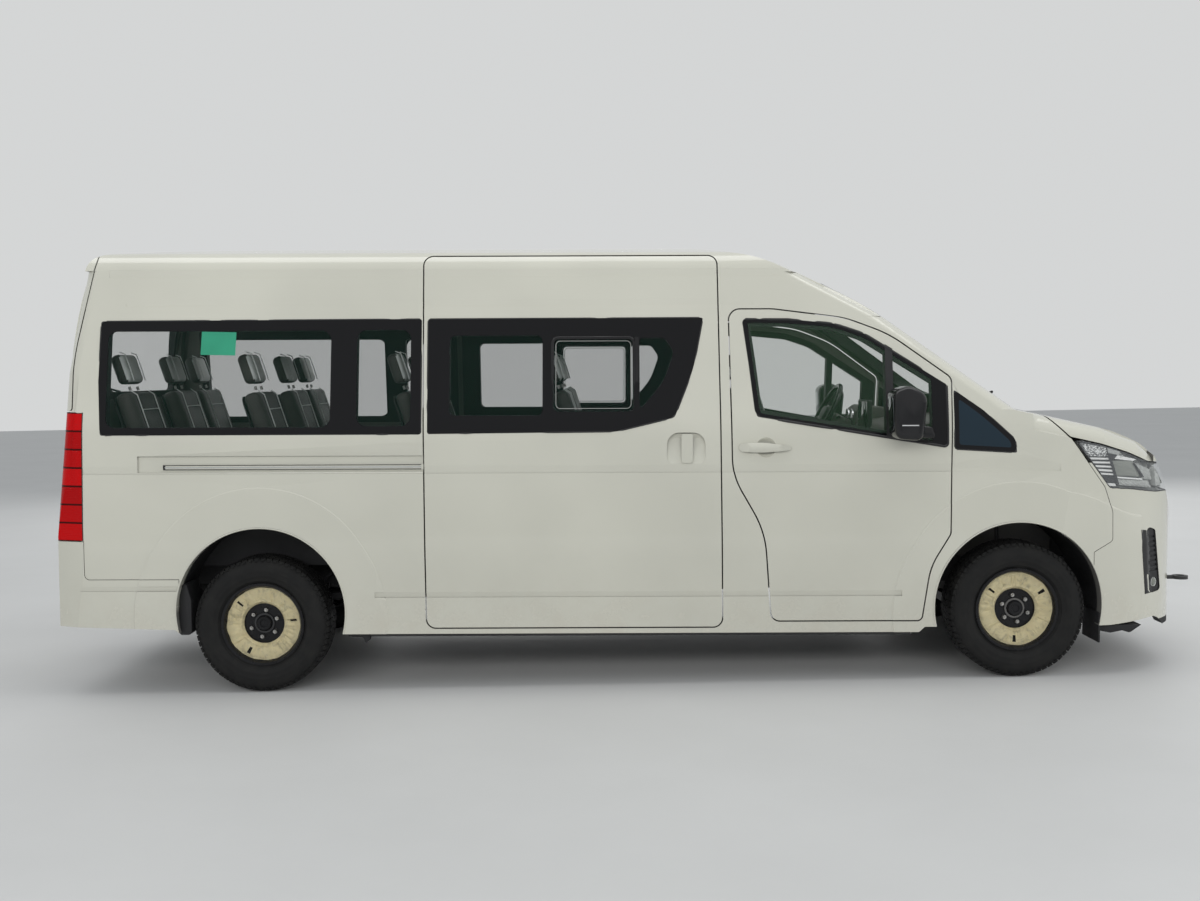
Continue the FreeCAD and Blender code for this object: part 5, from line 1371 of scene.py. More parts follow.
def make_side_shells():
    """The body sides again, with the tail opening clear of the skin behind the tailgate's window."""
    for name in SIDES:
        form = bmesh.new()
        form.from_mesh(frame["nodes"][f"side_panel_{name}"].data)
        bmesh.ops.remove_doubles(form, verts=form.verts, dist=WELD)
        wall = linked("side", mesh_of(form, "side"))
        room = linked("room", mesh_of(moved(brick(*TAIL_ROOM, 0.0), LEANED), "room"))
        cut = wall.modifiers.new("cut", "BOOLEAN")
        cut.operation = "DIFFERENCE"
        cut.solver = "EXACT"
        cut.object = room
        mesh = evaluated(wall)
        bpy.data.objects.remove(room)
        mesh.shade_smooth()
        mesh.set_sharp_from_angle(angle=PANEL_EDGE)
        holder = linked("shading", mesh)
        holder.modifiers.new("shading", "WEIGHTED_NORMAL").keep_sharp = True
        mesh = evaluated(holder)
        mesh.materials.clear()
        piece(f"side_shell_{name}", mesh, "paint", smooth=False, leaned=False,
              replaced=(f"side_panel_{name}",))


def make_division_bars():
    """The upright between the two panes of a front door's glass."""
    low, high = DIVISION_BAR
    corners = [(low, 1.735), (high, 1.712), (high, 1.262), (low, 1.268)]
    for name, side in SIDES.items():
        fitting(f"division_bar_{name}", patch(side_spot(side), corners, -0.0035, 0.002, (2, 10)), "seal",
                f"front_door_{name}_leaf")


# Cabin

CARDS = [
    # name, sides, body, four corners along and up, thickness, bulge
    ("door_card", ("right", "left"), "front_door_{}_leaf",
     [(0.545, 1.150), (1.530, 1.150), (1.425, 0.400), (0.745, 0.400)], 0.016, 0.010),
    ("slider_card", ("right",), SHELL, rectangle((-1.020, 0.385), (1.235, 0.400)), 0.014, 0.006),
    ("middle_lining", ("left",), SHELL, rectangle((-1.060, 0.430), (1.235, 0.680)), 0.014, 0.006),
    ("rear_lining", ("right", "left"), SHELL, rectangle((-2.640, -1.130), (1.235, 0.900)), 0.014, 0.006),
]
SPEAKER_SHAPE = [
    (0.0, 0.0), (0.095, 0.0), (0.095, 0.022), (0.090, 0.029), (0.083, 0.024), (0.078, 0.028),
    (0.070, 0.023), (0.062, 0.027), (0.052, 0.022), (0.042, 0.026), (0.030, 0.021), (0.015, 0.025),
    (0.0, 0.024),
]
GRAB_HEIGHT = 1.955
GRAB_PROUD = 0.050
BELT_X, BELT_TOP = 0.452, 1.640
FRONT_BELT_WIDTH = 0.046
LAP_BELT_WIDTH = 0.042
BELT_THICKNESS = 0.002


def make_door_fittings(name, side):
    """Armrest, switches, lever, speaker and pocket of one front door."""
    leaf = f"front_door_{name}_leaf"
    wall = abs(wall_spot(side)(1.05, 0.93)[0].y)
    rest = brick((0.800, 1.300), between(side, wall - 0.080, wall - 0.010), (0.905, 0.950), 0.014)
    fitting(f"armrest_{name}", rest, "leather", leaf)
    switches = [brick((1.10 + 0.045 * number, 1.135 + 0.045 * number),
                      between(side, wall - 0.062, wall - 0.030), (0.948, 0.956), 0.002)
                for number in range(3)]
    fitting(f"window_switches_{name}", joined(*switches), "black_gloss", leaf)
    lever = [(1.33, side * (wall - 0.020), 1.06), (1.30, side * (wall - 0.040), 1.062),
             (1.22, side * (wall - 0.040), 1.056)]
    tube(f"door_lever_{name}", lever, 0.009, "chrome", leaf)
    round_piece(f"door_speaker_{name}", wall_spot(side)(1.26, 0.60), SPEAKER_SHAPE, "black_plastic", leaf,
                steps=40)
    pocket = brick((0.780, 1.130), between(side, wall - 0.050, wall - 0.008), (0.450, 0.570), 0.014)
    fitting(f"door_pocket_{name}", pocket, "trim", leaf)


def make_cabin_trim():
    """Door cards, quarter linings, rails, ceiling lamps and belts."""
    for label, names, body, corners, thickness, bulge in CARDS:
        for name in names:
            form = patch(wall_spot(SIDES[name]), corners, -thickness, 0.002, (20, 12), bulge)
            fitting(f"{label}_{name}", form, "trim", body.format(name))
    for name, side in SIDES.items():
        make_door_fittings(name, side)
        spot = wall_spot(side)
        run = ((-2.48, 0.004), (-2.45, GRAB_PROUD), (-1.6, GRAB_PROUD), (-0.8, GRAB_PROUD), (0.0, GRAB_PROUD),
               (0.30, GRAB_PROUD), (0.33, 0.004))
        rail = [lifted(spot(x, GRAB_HEIGHT), proud) for x, proud in run]
        tube(f"grab_rail_{name}", rail, 0.014, "silver", sides=12)
        for number, x in enumerate((-1.9, -1.1, -0.3)):
            foot = spot(x, GRAB_HEIGHT)
            tube(f"grab_stay_{number}_{name}", [lifted(foot, 0.0), lifted(foot, GRAB_PROUD)], 0.009, "silver")
        round_piece(f"belt_anchor_{name}", spot(BELT_X, BELT_TOP), [
            (0.0, 0.0), (0.026, 0.0), (0.024, 0.012), (0.014, 0.018), (0.0, 0.019)],
            "black_plastic", steps=24)
        run = [lifted(spot(BELT_X, BELT_TOP - 0.09 * step), 0.014) for step in range(10)]
        fitting(f"front_belt_{name}", ribbon(run, (1, 0, 0), FRONT_BELT_WIDTH, BELT_THICKNESS), "webbing")
    for number, x in enumerate((-2.2, -0.9, 0.45)):
        roof = roof_spot(x, 0.0)[0].z
        form = brick((x - 0.11, x + 0.11), (-0.055, 0.055), (roof - 0.018, roof + 0.002), 0.007)
        fitting(f"ceiling_lamp_{number}", form, "blank")


HOOD = [(1.346, 1.272, 0.01), (1.350, 1.362, 0.02), (1.395, 1.398, 0.04), (1.520, 1.388, 0.08),
        (1.640, 1.330, 0.02)]
CONSOLE = [(1.060, 0.622, 0.02), (1.440, 0.622, 0.01), (1.440, 1.060, 0.02), (1.340, 1.020, 0.06),
           (1.240, 0.860, 0.08), (1.060, 0.820, 0.04)]
DIAL_X, DIAL_HEIGHT = 1.348, 1.322
DIAL_Y = (0.385, 0.515)
KNOB_SHAPE = [(0.0, -0.012), (0.017, -0.012), (0.016, 0.006), (0.013, 0.010), (0.0, 0.011)]
BOOT_SHAPE = [(0.0, 0.0), (0.062, 0.0), (0.052, 0.016), (0.046, 0.020), (0.036, 0.036), (0.032, 0.040),
              (0.020, 0.062), (0.011, 0.076), (0.0, 0.078)]
LEVER_KNOB_SHAPE = [(0.0, -0.030), (0.014, -0.028), (0.023, -0.010), (0.026, 0.008), (0.022, 0.024),
                    (0.010, 0.032), (0.0, 0.033)]
# Each pedal's place across, its height and its width
PEDALS = ((0.560, 0.800, 0.060), (0.450, 0.800, 0.060), (0.345, 0.780, 0.050))


def dash_plate(y, z, radius, x, bevel, segments):
    """A rounded rectangle that faces the seats, between low and high values of y, z and x."""
    return slab(rectangle(y, z, radius), *x, "yz", bevel, segments)


def make_dials():
    """Two dials with their rings and ticks."""
    for number, y in enumerate(DIAL_Y):
        found = (Vector((DIAL_X, y, DIAL_HEIGHT)), Vector((-1, 0, 0)))
        round_piece(f"dial_ring_{number}", found, [
            (0.0, 0.0), (0.052, 0.0), (0.052, 0.006), (0.047, 0.007), (0.045, 0.002), (0.0, 0.002)],
            "chrome", steps=48)
        round_piece(f"dial_face_{number}", found, [
            (0.0, 0.0025), (0.0445, 0.0025), (0.0445, 0.0035), (0.0, 0.0035)], "screen_face", steps=48)
        tick = brick((-0.0004, 0.0004), (-0.0012, 0.0012), (0.034, 0.042), 0.0002)
        ticks = repeated(mesh_of(tick, "tick"), 9, "blank", turn=(math.radians(30), 0, 0))
        first_tick = Matrix.Rotation(math.radians(-120), 4, "X")
        ticks.transform(Matrix.Translation((DIAL_X - 0.0038, y, DIAL_HEIGHT)) @ first_tick)
        piece(f"dial_ticks_{number}", ticks, "blank", smooth=False)


def make_air_vents():
    """Four vents with rim, dark hole and vanes."""
    for number, y in enumerate((-0.745, -0.235, 0.215, 0.745)):
        rim = dash_plate((y - 0.060, y + 0.060), (1.212, 1.272), 0.012, (1.331, 1.350), 0.003, 2)
        fitting(f"vent_rim_{number}", rim, "silver")
        hole = dash_plate((y - 0.054, y + 0.054), (1.218, 1.266), 0.009, (1.3295, 1.340), 0.001, 2)
        fitting(f"vent_hole_{number}", hole, "black_plastic")
        vane = brick((1.324, 1.333), (-0.052, 0.052), (-0.0012, 0.0012), 0.0005)
        vanes = repeated(mesh_of(vane, "vane"), 5, "black_gloss", step=(0, 0, 0.0092))
        vanes.transform(Matrix.Translation((0, y, 1.2236)))
        piece(f"vent_vanes_{number}", vanes, "black_gloss")


def make_dashboard():
    """Instrument hood and dials, display, vents, glove box, console, lever and pedals."""
    fitting("instrument_hood", slab(HOOD, 0.285, 0.615, "xz", 0.016, 3), "trim")
    make_dials()
    fitting("display_frame", dash_plate((-0.140, 0.140), (1.262, 1.436), 0.014, (1.336, 1.362), 0.005, 3),
            "black_plastic")
    fitting("display_glass", dash_plate((-0.128, 0.128), (1.282, 1.428), 0.006, (1.334, 1.340), 0.001, 2),
            "screen_face")
    knobs = [moved(turned(KNOB_SHAPE, 28), facing_out((1.352, y, 1.200), (-0.98, 0, -0.2)))
             for y in (-0.10, -0.034, 0.034, 0.10)]
    fitting("climate_knobs", joined(*knobs), "silver")
    make_air_vents()
    lid = dash_plate((-0.700, -0.240), (0.900, 1.110), 0.03, (1.398, 1.430), 0.008, 3)
    fitting("glove_box_lid", lid, "trim")
    latch = brick((1.392, 1.400), (-0.510, -0.430), (1.070, 1.092), 0.003)
    fitting("glove_box_latch", latch, "chrome")
    fitting("centre_console", slab(CONSOLE, -0.120, 0.120, "xz", 0.016, 3), "trim")
    boot = moved(turned(BOOT_SHAPE, 28), facing_out((1.185, 0, 0.842), (-0.12, 0, 1)))
    fitting("lever_boot", boot, "leather")
    tube("gear_lever", [(1.178, 0, 0.90), (1.164, 0, 0.985)], 0.006, "steel", sides=12)
    knob = moved(turned(LEVER_KNOB_SHAPE, 28), facing_out((1.160, 0, 1.008), (-0.16, 0, 1)))
    fitting("gear_knob", knob, "black_gloss")
    for number, (y, z, width) in enumerate(PEDALS):
        pad = brick((1.404, 1.416), (y - width / 2, y + width / 2), (z - 0.035, z + 0.035), 0.004)
        arm = pipe([(1.415, y, z), (1.452, y, z + 0.10), (1.470, y, z + 0.22)], 0.007)
        fitting(f"pedal_{number}", joined(pad, arm), "black_plastic")
    mirror = dash_plate((-0.115, 0.115), (-0.030, 0.030), 0.02, (-0.012, 0.010), 0.004, 3)
    place = lifted(nose_spot(0.0, 1.930), -0.090)
    fitting("cabin_mirror", moved(mirror, Matrix.Translation(place)), "black_gloss")
    stem = [place + Vector((0.008, 0, 0.010)), lifted(nose_spot(0.0, 1.965), -0.010)]
    tube("cabin_mirror_stem", stem, 0.007, "black_plastic")


HAND_WHEEL = Vector((1.190, 0.450, 1.340))
SPOKE_ANGLES = (-10, 190, 270)
WHEEL_PAD = [(-0.092, 0.052, 0.03), (0.092, 0.052, 0.03), (0.060, -0.082, 0.03), (-0.060, -0.082, 0.03)]
SHROUD = [(-0.048, -0.052, 0.02), (0.048, -0.052, 0.02), (0.052, 0.040, 0.02), (-0.052, 0.040, 0.02)]


def make_hand_wheel():
    """Centre pad and spoke covers of the steering wheel, and the column's stalks."""
    toward = (LEVEL.to_3x3() @ Vector(joint_axis("hand_wheel_turn"))).normalized()
    if toward.x > 0:
        toward = -toward
    across = Vector((0, -1, 0))
    upward = toward.cross(across).normalized()
    place = Matrix.Translation(HAND_WHEEL) @ Matrix((across, upward, toward)).transposed().to_4x4()
    pad = slab(WHEEL_PAD, -0.030, 0.016, "xy", 0.010, 3)
    fitting("wheel_pad", moved(pad, place), "black_plastic", "hand_wheel")
    for number, angle in enumerate(SPOKE_ANGLES):
        run = Vector((math.cos(math.radians(angle)), math.sin(math.radians(angle)), 0))
        side = Vector((-run.y, run.x, 0))
        corners = [run * 0.070 + side * 0.028, run * 0.186 + side * 0.018, run * 0.186 - side * 0.018,
                   run * 0.070 - side * 0.028]
        spoke = slab([(corner.x, corner.y, 0.004) for corner in corners], -0.022, 0.002, "xy", 0.005, 2)
        fitting(f"wheel_spoke_{number}", moved(spoke, place), "black_gloss", "hand_wheel")
    root = HAND_WHEEL - toward * 0.075
    for label, sign in (("left", 1.0), ("right", -1.0)):
        stalk = [root + Vector((0, sign * out, up))
                 for out, up in ((0.030, 0.010), (0.110, 0.022), (0.165, 0.020))]
        tube(f"column_stalk_{label}", stalk, 0.008, "black_plastic", sides=12)
    shroud = slab(SHROUD, -0.190, -0.052, "xy", 0.010, 3)
    fitting("column_shroud", moved(shroud, place), "trim")


# Below

REAR_AXLE = (-1.9125, 0.316)
FRONT_AXLE = (1.9475, 0.3787)
SPARE_X = -2.425


def make_chassis_fittings():
    """Dampers, spring clamps, brake hoses, tank straps and the tray under the floor."""
    (rear_x, rear_z), (front_x, front_z) = REAR_AXLE, FRONT_AXLE
    for name, side in SIDES.items():
        low = Vector((rear_x + 0.075, side * 0.464, rear_z + 0.030))
        high = Vector((rear_x + 0.30, side * 0.464, 0.548))
        middle = low.lerp(high, 0.50)
        body = [low + (high - low).normalized() * 0.03, middle]
        tube(f"rear_damper_{name}", body, 0.027, "chassis", sides=16)
        tube(f"rear_damper_rod_{name}", [middle, high], 0.010, "chassis", sides=12)
        inner, outer = side * 0.490, side * 0.570
        foot, top = rear_z - 0.064, rear_z + 0.098
        clamps = [pipe([(x, inner, foot), (x, inner, top), (x, outer, top), (x, outer, foot)], 0.0065)
                  for x in (rear_x - 0.050, rear_x + 0.050)]
        plate = brick((rear_x - 0.07, rear_x + 0.07), between(side, 0.480, 0.580),
                      (rear_z - 0.058, rear_z - 0.046), 0.002)
        fitting(f"spring_clamps_{name}", joined(plate, *clamps), "chassis")
        low, high = Vector((front_x, side * 0.600, front_z - 0.105)), Vector((front_x, side * 0.560, 0.80))
        middle = low.lerp(high, 0.55)
        tube(f"front_damper_{name}", [low, middle], 0.026, "chassis", sides=16)
        tube(f"front_damper_rod_{name}", [middle, high], 0.011, "chassis", sides=12)
        hose = [(rear_x + 0.02, side * 0.40, rear_z + 0.05), (rear_x + 0.06, side * 0.36, rear_z + 0.12),
                (rear_x + 0.16, side * 0.345, 0.47), (rear_x + 0.30, side * 0.345, 0.50)]
        tube(f"brake_hose_{name}", hose, 0.005, "seal")
    straps = [brick((x - 0.02, x + 0.02), (-0.884, -0.466), (0.346, 0.350), 0.001) for x in (-0.85, -0.23)]
    fitting("tank_straps", joined(*straps), "steel")
    tray = slab(rectangle((2.080, 2.700), (0.330, 0.338), 0), -0.48, 0.48, "xz", 0.002)
    fitting("engine_undertray", tray, "black_plastic")
    cable = [(SPARE_X, 0.0, 0.550), (SPARE_X, 0.0, 0.330)]
    tube("spare_wheel_cable", cable, 0.006, "steel")
    clip = turned([(0.0, -0.012), (0.075, -0.012), (0.078, -0.006), (0.060, 0.0), (0.0, 0.0)], 24)
    fitting("spare_wheel_plate", moved(clip, facing_out((SPARE_X, 0.0, 0.435), (0, 0, -1))), "chassis")


# Seats

def find_seats():
    """The CAD seat pads as separate boxes, in the level frame."""
    found = {}
    for kind in ("seat_cushions", "seat_backs", "headrests"):
        form = bmesh.new()
        form.from_mesh(frame["nodes"][kind].data)
        bmesh.ops.remove_doubles(form, verts=form.verts, dist=WELD)
        moved(form, LEVEL)
        left = set(form.verts)
        islands = []
        while left:
            stack, island = [left.pop()], []
            while stack:
                vertex = stack.pop()
                island.append(vertex.co.copy())
                for edge in vertex.link_edges:
                    other = edge.other_vert(vertex)
                    if other in left:
                        left.discard(other)
                        stack.append(other)
            islands.append(island)
        centres = [sum(island, Vector()) / len(island) for island in islands]
        form.free()
        found[kind] = sorted(centres, key=lambda centre: (round(centre.x, 1), centre.y))
    return found


def pad_grid(width, depth, height, cell, rounding):
    """A closed box of even quads, with rounded edges, centred on the origin."""
    counts = [max(4, round(extent / cell)) for extent in (depth, width, height)]
    half = [depth / 2, width / 2, height / 2]
    form = bmesh.new()
    known = {}

    def vertex(i, j, k):
        key = (i, j, k)
        if key not in known:
            point = Vector([half[axis] * (2 * value / counts[axis] - 1) for axis, value in enumerate(key)])
            core = Vector([max(-half[axis] + rounding, min(half[axis] - rounding, point[axis]))
                           for axis in range(3)])
            out = point - core
            if out.length > 1e-9:
                point = core + out.normalized() * rounding
            known[key] = form.verts.new(point)
        return known[key]

    for axis in range(3):
        first, second = [other for other in range(3) if other != axis]
        for end in (0, counts[axis]):
            for a in range(counts[first]):
                for b in range(counts[second]):
                    quad = []
                    for da, db in ((0, 0), (1, 0), (1, 1), (0, 1)):
                        key = [0, 0, 0]
                        key[axis], key[first], key[second] = end, a + da, b + db
                        quad.append(vertex(*key))
                    form.faces.new(quad)
    bmesh.ops.recalc_face_normals(form, faces=form.faces)
    return form


CLOTH = {
    "use_pressure": True, "uniform_pressure_force": 4.0, "vertex_group_mass": "seams", "quality": 4,
    "mass": 0.25, "tension_stiffness": 12, "compression_stiffness": 12, "bending_stiffness": 0.6,
}
CLOTH_FRAMES = 20


def inflated(form, name, pinned, cap):
    """The pad swollen by its filling between pinned seams: cloth under pressure, capped and applied."""
    mesh = bpy.data.meshes.new(name)
    form.to_mesh(mesh)
    form.free()
    rest = [vertex.co.copy() for vertex in mesh.vertices]
    holder = linked(name, mesh)
    group = holder.vertex_groups.new(name="seams")
    for vertex in mesh.vertices:
        group.add([vertex.index], pinned(vertex.co), "REPLACE")
    cloth = holder.modifiers.new("cloth", "CLOTH")
    for setting, value in CLOTH.items():
        setattr(cloth.settings, setting, value)
    cloth.settings.effector_weights.gravity = 0.0
    cloth.collision_settings.use_self_collision = False
    for number in range(1, CLOTH_FRAMES + 1):
        bpy.context.scene.frame_set(number)
    graph = bpy.context.evaluated_depsgraph_get()
    result = holder.evaluated_get(graph).to_mesh()
    swollen = [vertex.co.copy() for vertex in result.vertices]
    holder.evaluated_get(graph).to_mesh_clear()
    bpy.context.scene.frame_set(1)
    holder.modifiers.clear()
    for vertex, start, end in zip(mesh.vertices, rest, swollen):
        shift = end - start
        if shift.length > cap:
            shift = shift.normalized() * cap
        vertex.co = start + shift
    bpy.data.objects.remove(holder)
    mesh.update()
    return mesh


def seam_pull(value, seams, width=0.007):
    """1 on a seam, falling to 0 beside it."""
    near = min(abs(value - seam) for seam in seams)
    return max(0.0, 1.0 - near / width)


def pad_meshes():
    """One leather cushion, back and headrest, swollen between their seams."""
    swell = sizes().pad_swell
    shrink = 2 * swell

    def cushion_pins(point):
        top = point.z > 0.02
        pull = max(seam_pull(abs(point.y), [0.135], 0.008) if top else 0.0,
                   seam_pull(point.x, [-0.06, 0.07], 0.008) if top and abs(point.y) < 0.135 else 0.0)
        return max(pull, 1.0 if point.z < -0.045 else 0.0)

    def back_pins(point):
        front = point.x > 0.0
        pull = seam_pull(abs(point.y), [0.130], 0.008) if front else 0.0
        if front and abs(point.y) < 0.130:
            pull = max(pull, seam_pull(point.z, [-0.13, 0.03, 0.16], 0.008))
        return max(pull, 0.85 if point.x < -0.035 else 0.0)

    def head_pins(point):
        return max(seam_pull(abs(point.y), [0.085], 0.008), 0.6 if point.x < -0.03 else 0.0)

    made = {}
    for kind, (width, depth, height), pins in (
        ("seat_cushions", (0.470, 0.470, 0.130), cushion_pins),
        ("seat_backs", (0.470, 0.110, 0.560), back_pins),
        ("headrests", (0.270, 0.100, 0.190), head_pins),
    ):
        form = pad_grid(width - shrink, depth - shrink, height - shrink, 0.0125, 0.028)
        mesh = inflated(form, kind, pins, swell)
        mesh.materials.append(MATERIALS["leather"])
        mesh.materials.append(MATERIALS["grey_leather"])
        for face in mesh.polygons:
            # Headrests' forward-facing faces take the pale grey leather: a painted sheen on their front side
            facing = kind == "headrests" and face.normal.x > 0.55
            face.material_index = 1 if facing else 0
        made[kind] = mesh
    return made


RECLINE = math.radians(18)
PIPING = {
    # lines of points from a pad's middle: along, across, up
    "seat_cushions": [
        [(-0.200, side * 0.135, 0.057), (-0.100, side * 0.135, 0.061), (0.100, side * 0.135, 0.061),
         (0.190, side * 0.135, 0.058), (0.222, side * 0.135, 0.030), (0.228, side * 0.135, -0.030)]
        for side in (-1, 1)] + [[(0.070, -0.133, 0.060), (0.070, 0.133, 0.060)]],
    "seat_backs": [
        [(0.048, side * 0.130, -0.250), (0.050, side * 0.130, 0.0), (0.050, side * 0.130, 0.240),
         (0.026, side * 0.130, 0.270)]
        for side in (-1, 1)] + [[(0.050, -0.128, 0.160), (0.050, 0.128, 0.160)]],
    "headrests": [
        [(0.044, side * 0.085, -0.075), (0.046, side * 0.085, 0.0), (0.044, side * 0.085, 0.070),
         (0.020, side * 0.085, 0.088)] for side in (-1, 1)],
}
BACK_SHELL = [(-0.215, -0.262, 0.04), (0.215, -0.262, 0.04), (0.200, 0.262, 0.05), (-0.200, 0.262, 0.05)]
LAP_BELT = ((-0.205, 0.195, 0.050), (-0.150, 0.180, 0.072), (-0.080, 0.120, 0.080), (-0.050, 0.040, 0.083))


def make_lap_belt(number, centre):
    """Two halves of webbing over a cushion, and the buckle between them."""
    halves = []
    for side in (-1, 1):
        run = [centre + Vector((along, side * across, up)) for along, across, up in LAP_BELT]
        halves.append(mesh_of(ribbon(run, (1, 0, 0.1), LAP_BELT_WIDTH, BELT_THICKNESS), "strap"))
    fitting(f"lap_belt_{number:02d}", joined(*halves), "webbing")
    buckle = brick((-0.080, -0.028), (-0.038, 0.038), (0.078, 0.094), 0.004)
    fitting(f"belt_buckle_{number:02d}", moved(buckle, Matrix.Translation(centre)), "silver")


def make_seats():
    """Leather seats: padded cushions, backs and headrests, on their CAD places."""
    places = find_seats()
    forms = pad_meshes()
    for kind, label in (("seat_cushions", "cushion"), ("seat_backs", "back"), ("headrests", "headrest")):
        lean = 0.0 if kind == "seat_cushions" else -RECLINE
        for number, centre in enumerate(places[kind]):
            place = Matrix.Translation(centre) @ Matrix.Rotation(lean, 4, "Y")
            mesh = forms[kind].copy()
            mesh.transform(place)
            pad = piece(f"seat_{label}_{number:02d}", mesh, "leather", replaced=(kind,))
            cords = joined(*[pipe(line, 0.0028) for line in PIPING[kind]])
            fitting(f"seat_{label}_piping_{number:02d}", moved(cords, place), "grey_leather")
            if kind == "seat_backs":
                shell = slab(BACK_SHELL, -0.0555, -0.046, "yz", 0.004, 2)
                fitting(f"seat_back_shell_{number:02d}", moved(shell, place), "black_plastic")
            if kind == "seat_cushions":
                make_lap_belt(number, centre)


# Stage

FLOOR_HALF = 40
FOCAL_PIXELS, PHOTO_WIDTH, SENSOR = 1330.0, 1200.0, 36.0
CAMERA_PLACE = (-0.163, -7.675, 1.587)
CAMERA_PITCH, CAMERA_ROLL = math.radians(3.25), math.radians(1.15)
LAMPS = [
    # name, place, aim, width, depth, watts
    ("overhead", (0.0, -1.0, 7.0), (0.0, 0.0, 1.0), 12.0, 3.0, 200.0),
    ("near_side", (-2.0, -11.0, 4.5), (0.0, 0.0, 1.2), 14.0, 2.0, 620.0),
    ("far_side", (1.0, 10.0, 5.0), (0.0, 0.0, 1.2), 14.0, 3.0, 560.0),
    ("front", (11.0, -3.0, 4.0), (1.0, 0.0, 1.0), 4.0, 4.0, 300.0),
]


def make_world():
    """Soft light from all sides; the camera and reflections see a plain grey instead."""
    world = bpy.data.worlds.new("studio")
    bpy.context.scene.world = world
    world.use_nodes = True
    world.node_tree.nodes.clear()
    nodes = wired(world.node_tree, {
        "paths": ("ShaderNodeLightPath",),
        "seen": ("ShaderNodeMath", "MAXIMUM"),
        "seen_all": ("ShaderNodeMath", "MAXIMUM"),
        "soft": ("ShaderNodeBackground",),
        "shown": ("ShaderNodeBackground",),
        "blend": ("ShaderNodeMixShader",),
        "out": ("ShaderNodeOutputWorld",),
    }, [
        ("paths", "Is Camera Ray", "seen", 0), ("paths", "Is Glossy Ray", "seen", 1),
        ("seen", 0, "seen_all", 0), ("paths", "Is Transmission Ray", "seen_all", 1),
        ("seen_all", 0, "blend", 0), ("soft", 0, "blend", 1), ("shown", 0, "blend", 2),
        ("blend", 0, "out", 0),
    ])
    for name, colour, strength in (
        ("soft", (0.90, 0.95, 1.0, 1.0), 0.55),
        ("shown", (0.66, 0.67, 0.67, 1.0), 1.0),
    ):
        nodes[name].inputs["Color"].default_value = colour
        nodes[name].inputs["Strength"].default_value = strength


def make_stage():
    """Pale floor, plain light and the camera at the photograph's angle."""
    scene = bpy.context.scene
    scene.view_settings.view_transform = "Standard"
    floor = bpy.data.meshes.new("floor")
    ends = (-FLOOR_HALF, FLOOR_HALF)
    floor.from_pydata(rectangle(ends, ends, 0), [], [(0, 1, 2, 3)])
    floor.materials.append(MATERIALS["floor"])
    linked("floor", floor)
    make_world()
    for name, place, aim, width, depth, watts in LAMPS:
        lamp = bpy.data.lights.new(name, "AREA")
        lamp.shape = "RECTANGLE"
        lamp.size, lamp.size_y = width, depth
        lamp.energy = watts
        holder = linked(name, lamp)
        holder.location = place
        holder.rotation_euler = (Vector(aim) - Vector(place)).to_track_quat("-Z", "Y").to_euler()
        holder.visible_glossy = name == "overhead"
    camera = bpy.data.cameras.new("camera")
    camera.lens = FOCAL_PIXELS / PHOTO_WIDTH * SENSOR
    camera.sensor_width = SENSOR
    scene.camera = linked("camera", camera)
    look = Matrix.Rotation(math.radians(90) - CAMERA_PITCH, 4, "X") @ Matrix.Rotation(-CAMERA_ROLL, 4, "Z")
    scene.camera.matrix_world = Matrix.Translation(CAMERA_PLACE) @ look


def dress_nodes():
    """The CAD pieces' own finishes."""
    for finish, names in NODE_FINISH.items():
        for name in names:
            mesh = frame["nodes"][name].data
            mesh.materials.clear()
            mesh.materials.append(MATERIALS[finish])


class Makers:
    """What every operator does: it runs its makers in order."""
    makers = ()

    def execute(self, context):
        for maker in self.makers:
            maker()
        return {"FINISHED"}


class MINIBUS_OT_stage(Makers, bpy.types.Operator):
    """Floor, light and camera"""
    bl_idname = "minibus.stage"
    bl_label = "Stage"
    makers = (make_materials, make_stage)


class MINIBUS_OT_finishes(Makers, bpy.types.Operator):
    """Finishes of the frame's own pieces"""
    bl_idname = "minibus.finishes"
    bl_label = "Finishes"
    makers = (dress_nodes,)


class MINIBUS_OT_tyres(Makers, bpy.types.Operator):
    """Tyres with tread"""
    bl_idname = "minibus.tyres"
    bl_label = "Tyres"
    makers = (make_tyres,)


class MINIBUS_OT_wheel_covers(Makers, bpy.types.Operator):
    """Paper rings, nuts and hub caps"""
    bl_idname = "minibus.wheel_covers"
    bl_label = "Wheel covers"
    makers = (make_wheel_covers,)


class MINIBUS_OT_window_seals(Makers, bpy.types.Operator):
    """Rubber seals and vent frames"""
    bl_idname = "minibus.window_seals"
    bl_label = "Window seals"
    makers = (make_window_seals,)


class MINIBUS_OT_lamps(Makers, bpy.types.Operator):
    """Headlamp insides, fog lamps, reflectors and stop lamp"""
    bl_idname = "minibus.lamps"
    bl_label = "Lamps"
    makers = (make_headlamps, make_small_lamps)


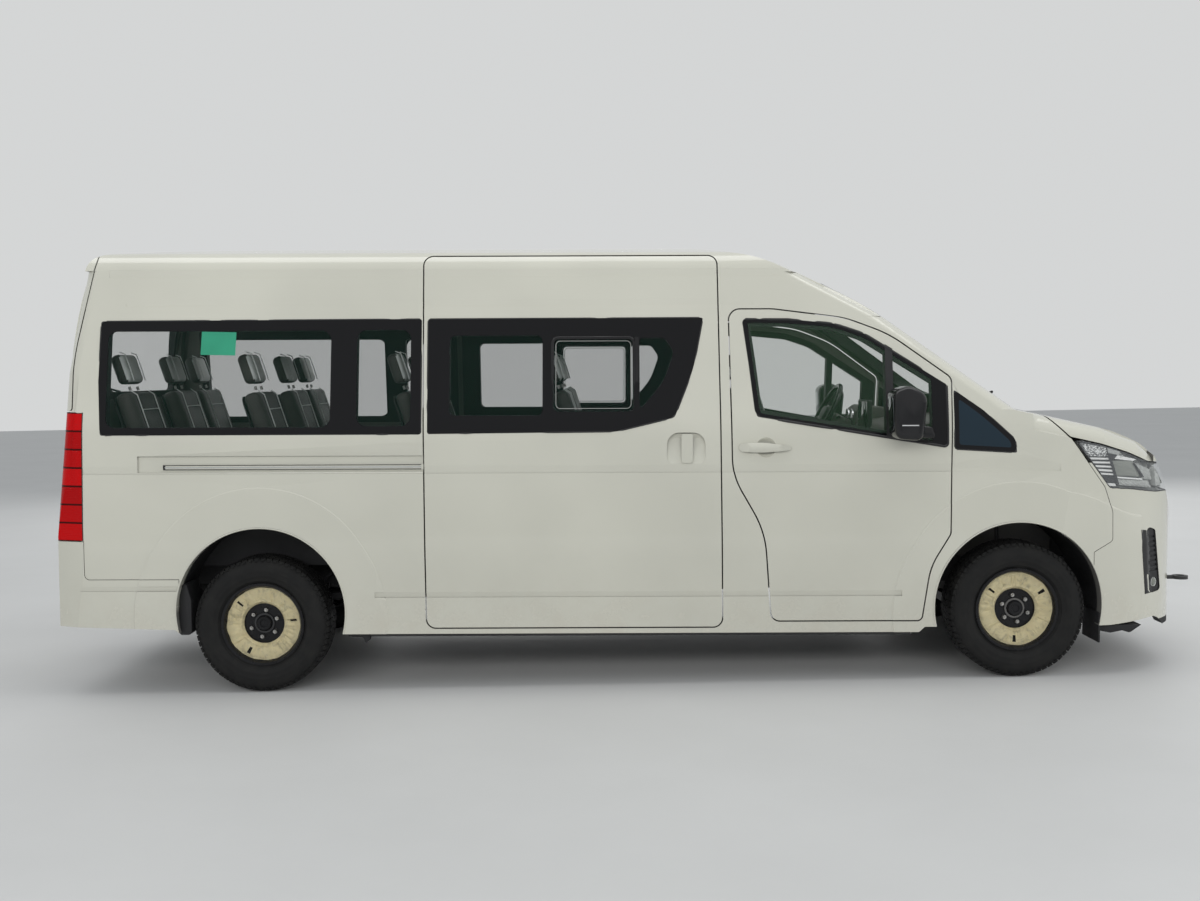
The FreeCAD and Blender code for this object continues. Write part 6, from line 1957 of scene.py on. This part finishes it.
class MINIBUS_OT_outer_fittings(Makers, bpy.types.Operator):
    """Arch flanges, flaps, mirrors, wipers, plate blanks and the cut body sides"""
    bl_idname = "minibus.outer_fittings"
    bl_label = "Outer fittings"
    makers = (make_outer_fittings, make_division_bars, make_side_shells)


class MINIBUS_OT_cabin(Makers, bpy.types.Operator):
    """Door cards, rails, belts, dashboard and steering wheel"""
    bl_idname = "minibus.cabin"
    bl_label = "Cabin"
    makers = (make_cabin_trim, make_dashboard, make_hand_wheel)


class MINIBUS_OT_chassis(Makers, bpy.types.Operator):
    """Dampers, clamps and trays under the floor"""
    bl_idname = "minibus.chassis"
    bl_label = "Chassis fittings"
    makers = (make_chassis_fittings,)


class MINIBUS_OT_seats(Makers, bpy.types.Operator):
    """Leather seats"""
    bl_idname = "minibus.seats"
    bl_label = "Seats"
    makers = (make_seats,)


OPERATORS = (
    MINIBUS_OT_stage, MINIBUS_OT_finishes, MINIBUS_OT_tyres, MINIBUS_OT_wheel_covers,
    MINIBUS_OT_window_seals, MINIBUS_OT_lamps, MINIBUS_OT_outer_fittings, MINIBUS_OT_cabin,
    MINIBUS_OT_chassis, MINIBUS_OT_seats,
)


class MINIBUS_PT_panel(bpy.types.Panel):
    """Sizes and the steps that build the dressing"""
    bl_label = "Minibus"
    bl_idname = "MINIBUS_PT_panel"
    bl_space_type = "VIEW_3D"
    bl_region_type = "UI"
    bl_category = "Minibus"

    def draw(self, context):
        for name in MinibusSizes.__annotations__:
            self.layout.prop(context.scene.minibus_sizes, name)
        for operator in OPERATORS:
            self.layout.operator(operator.bl_idname)


def register():
    for kind in (MinibusSizes, *OPERATORS, MINIBUS_PT_panel):
        bpy.utils.register_class(kind)
    bpy.types.Scene.minibus_sizes = PointerProperty(type=MinibusSizes)


def unregister():
    del bpy.types.Scene.minibus_sizes
    for kind in reversed((MinibusSizes, *OPERATORS, MINIBUS_PT_panel)):
        bpy.utils.unregister_class(kind)


def main():
    register()
    for operator in OPERATORS:
        group, name = operator.bl_idname.split(".")
        getattr(getattr(bpy.ops, group), name)()


if __name__ == "__main__":
    main()
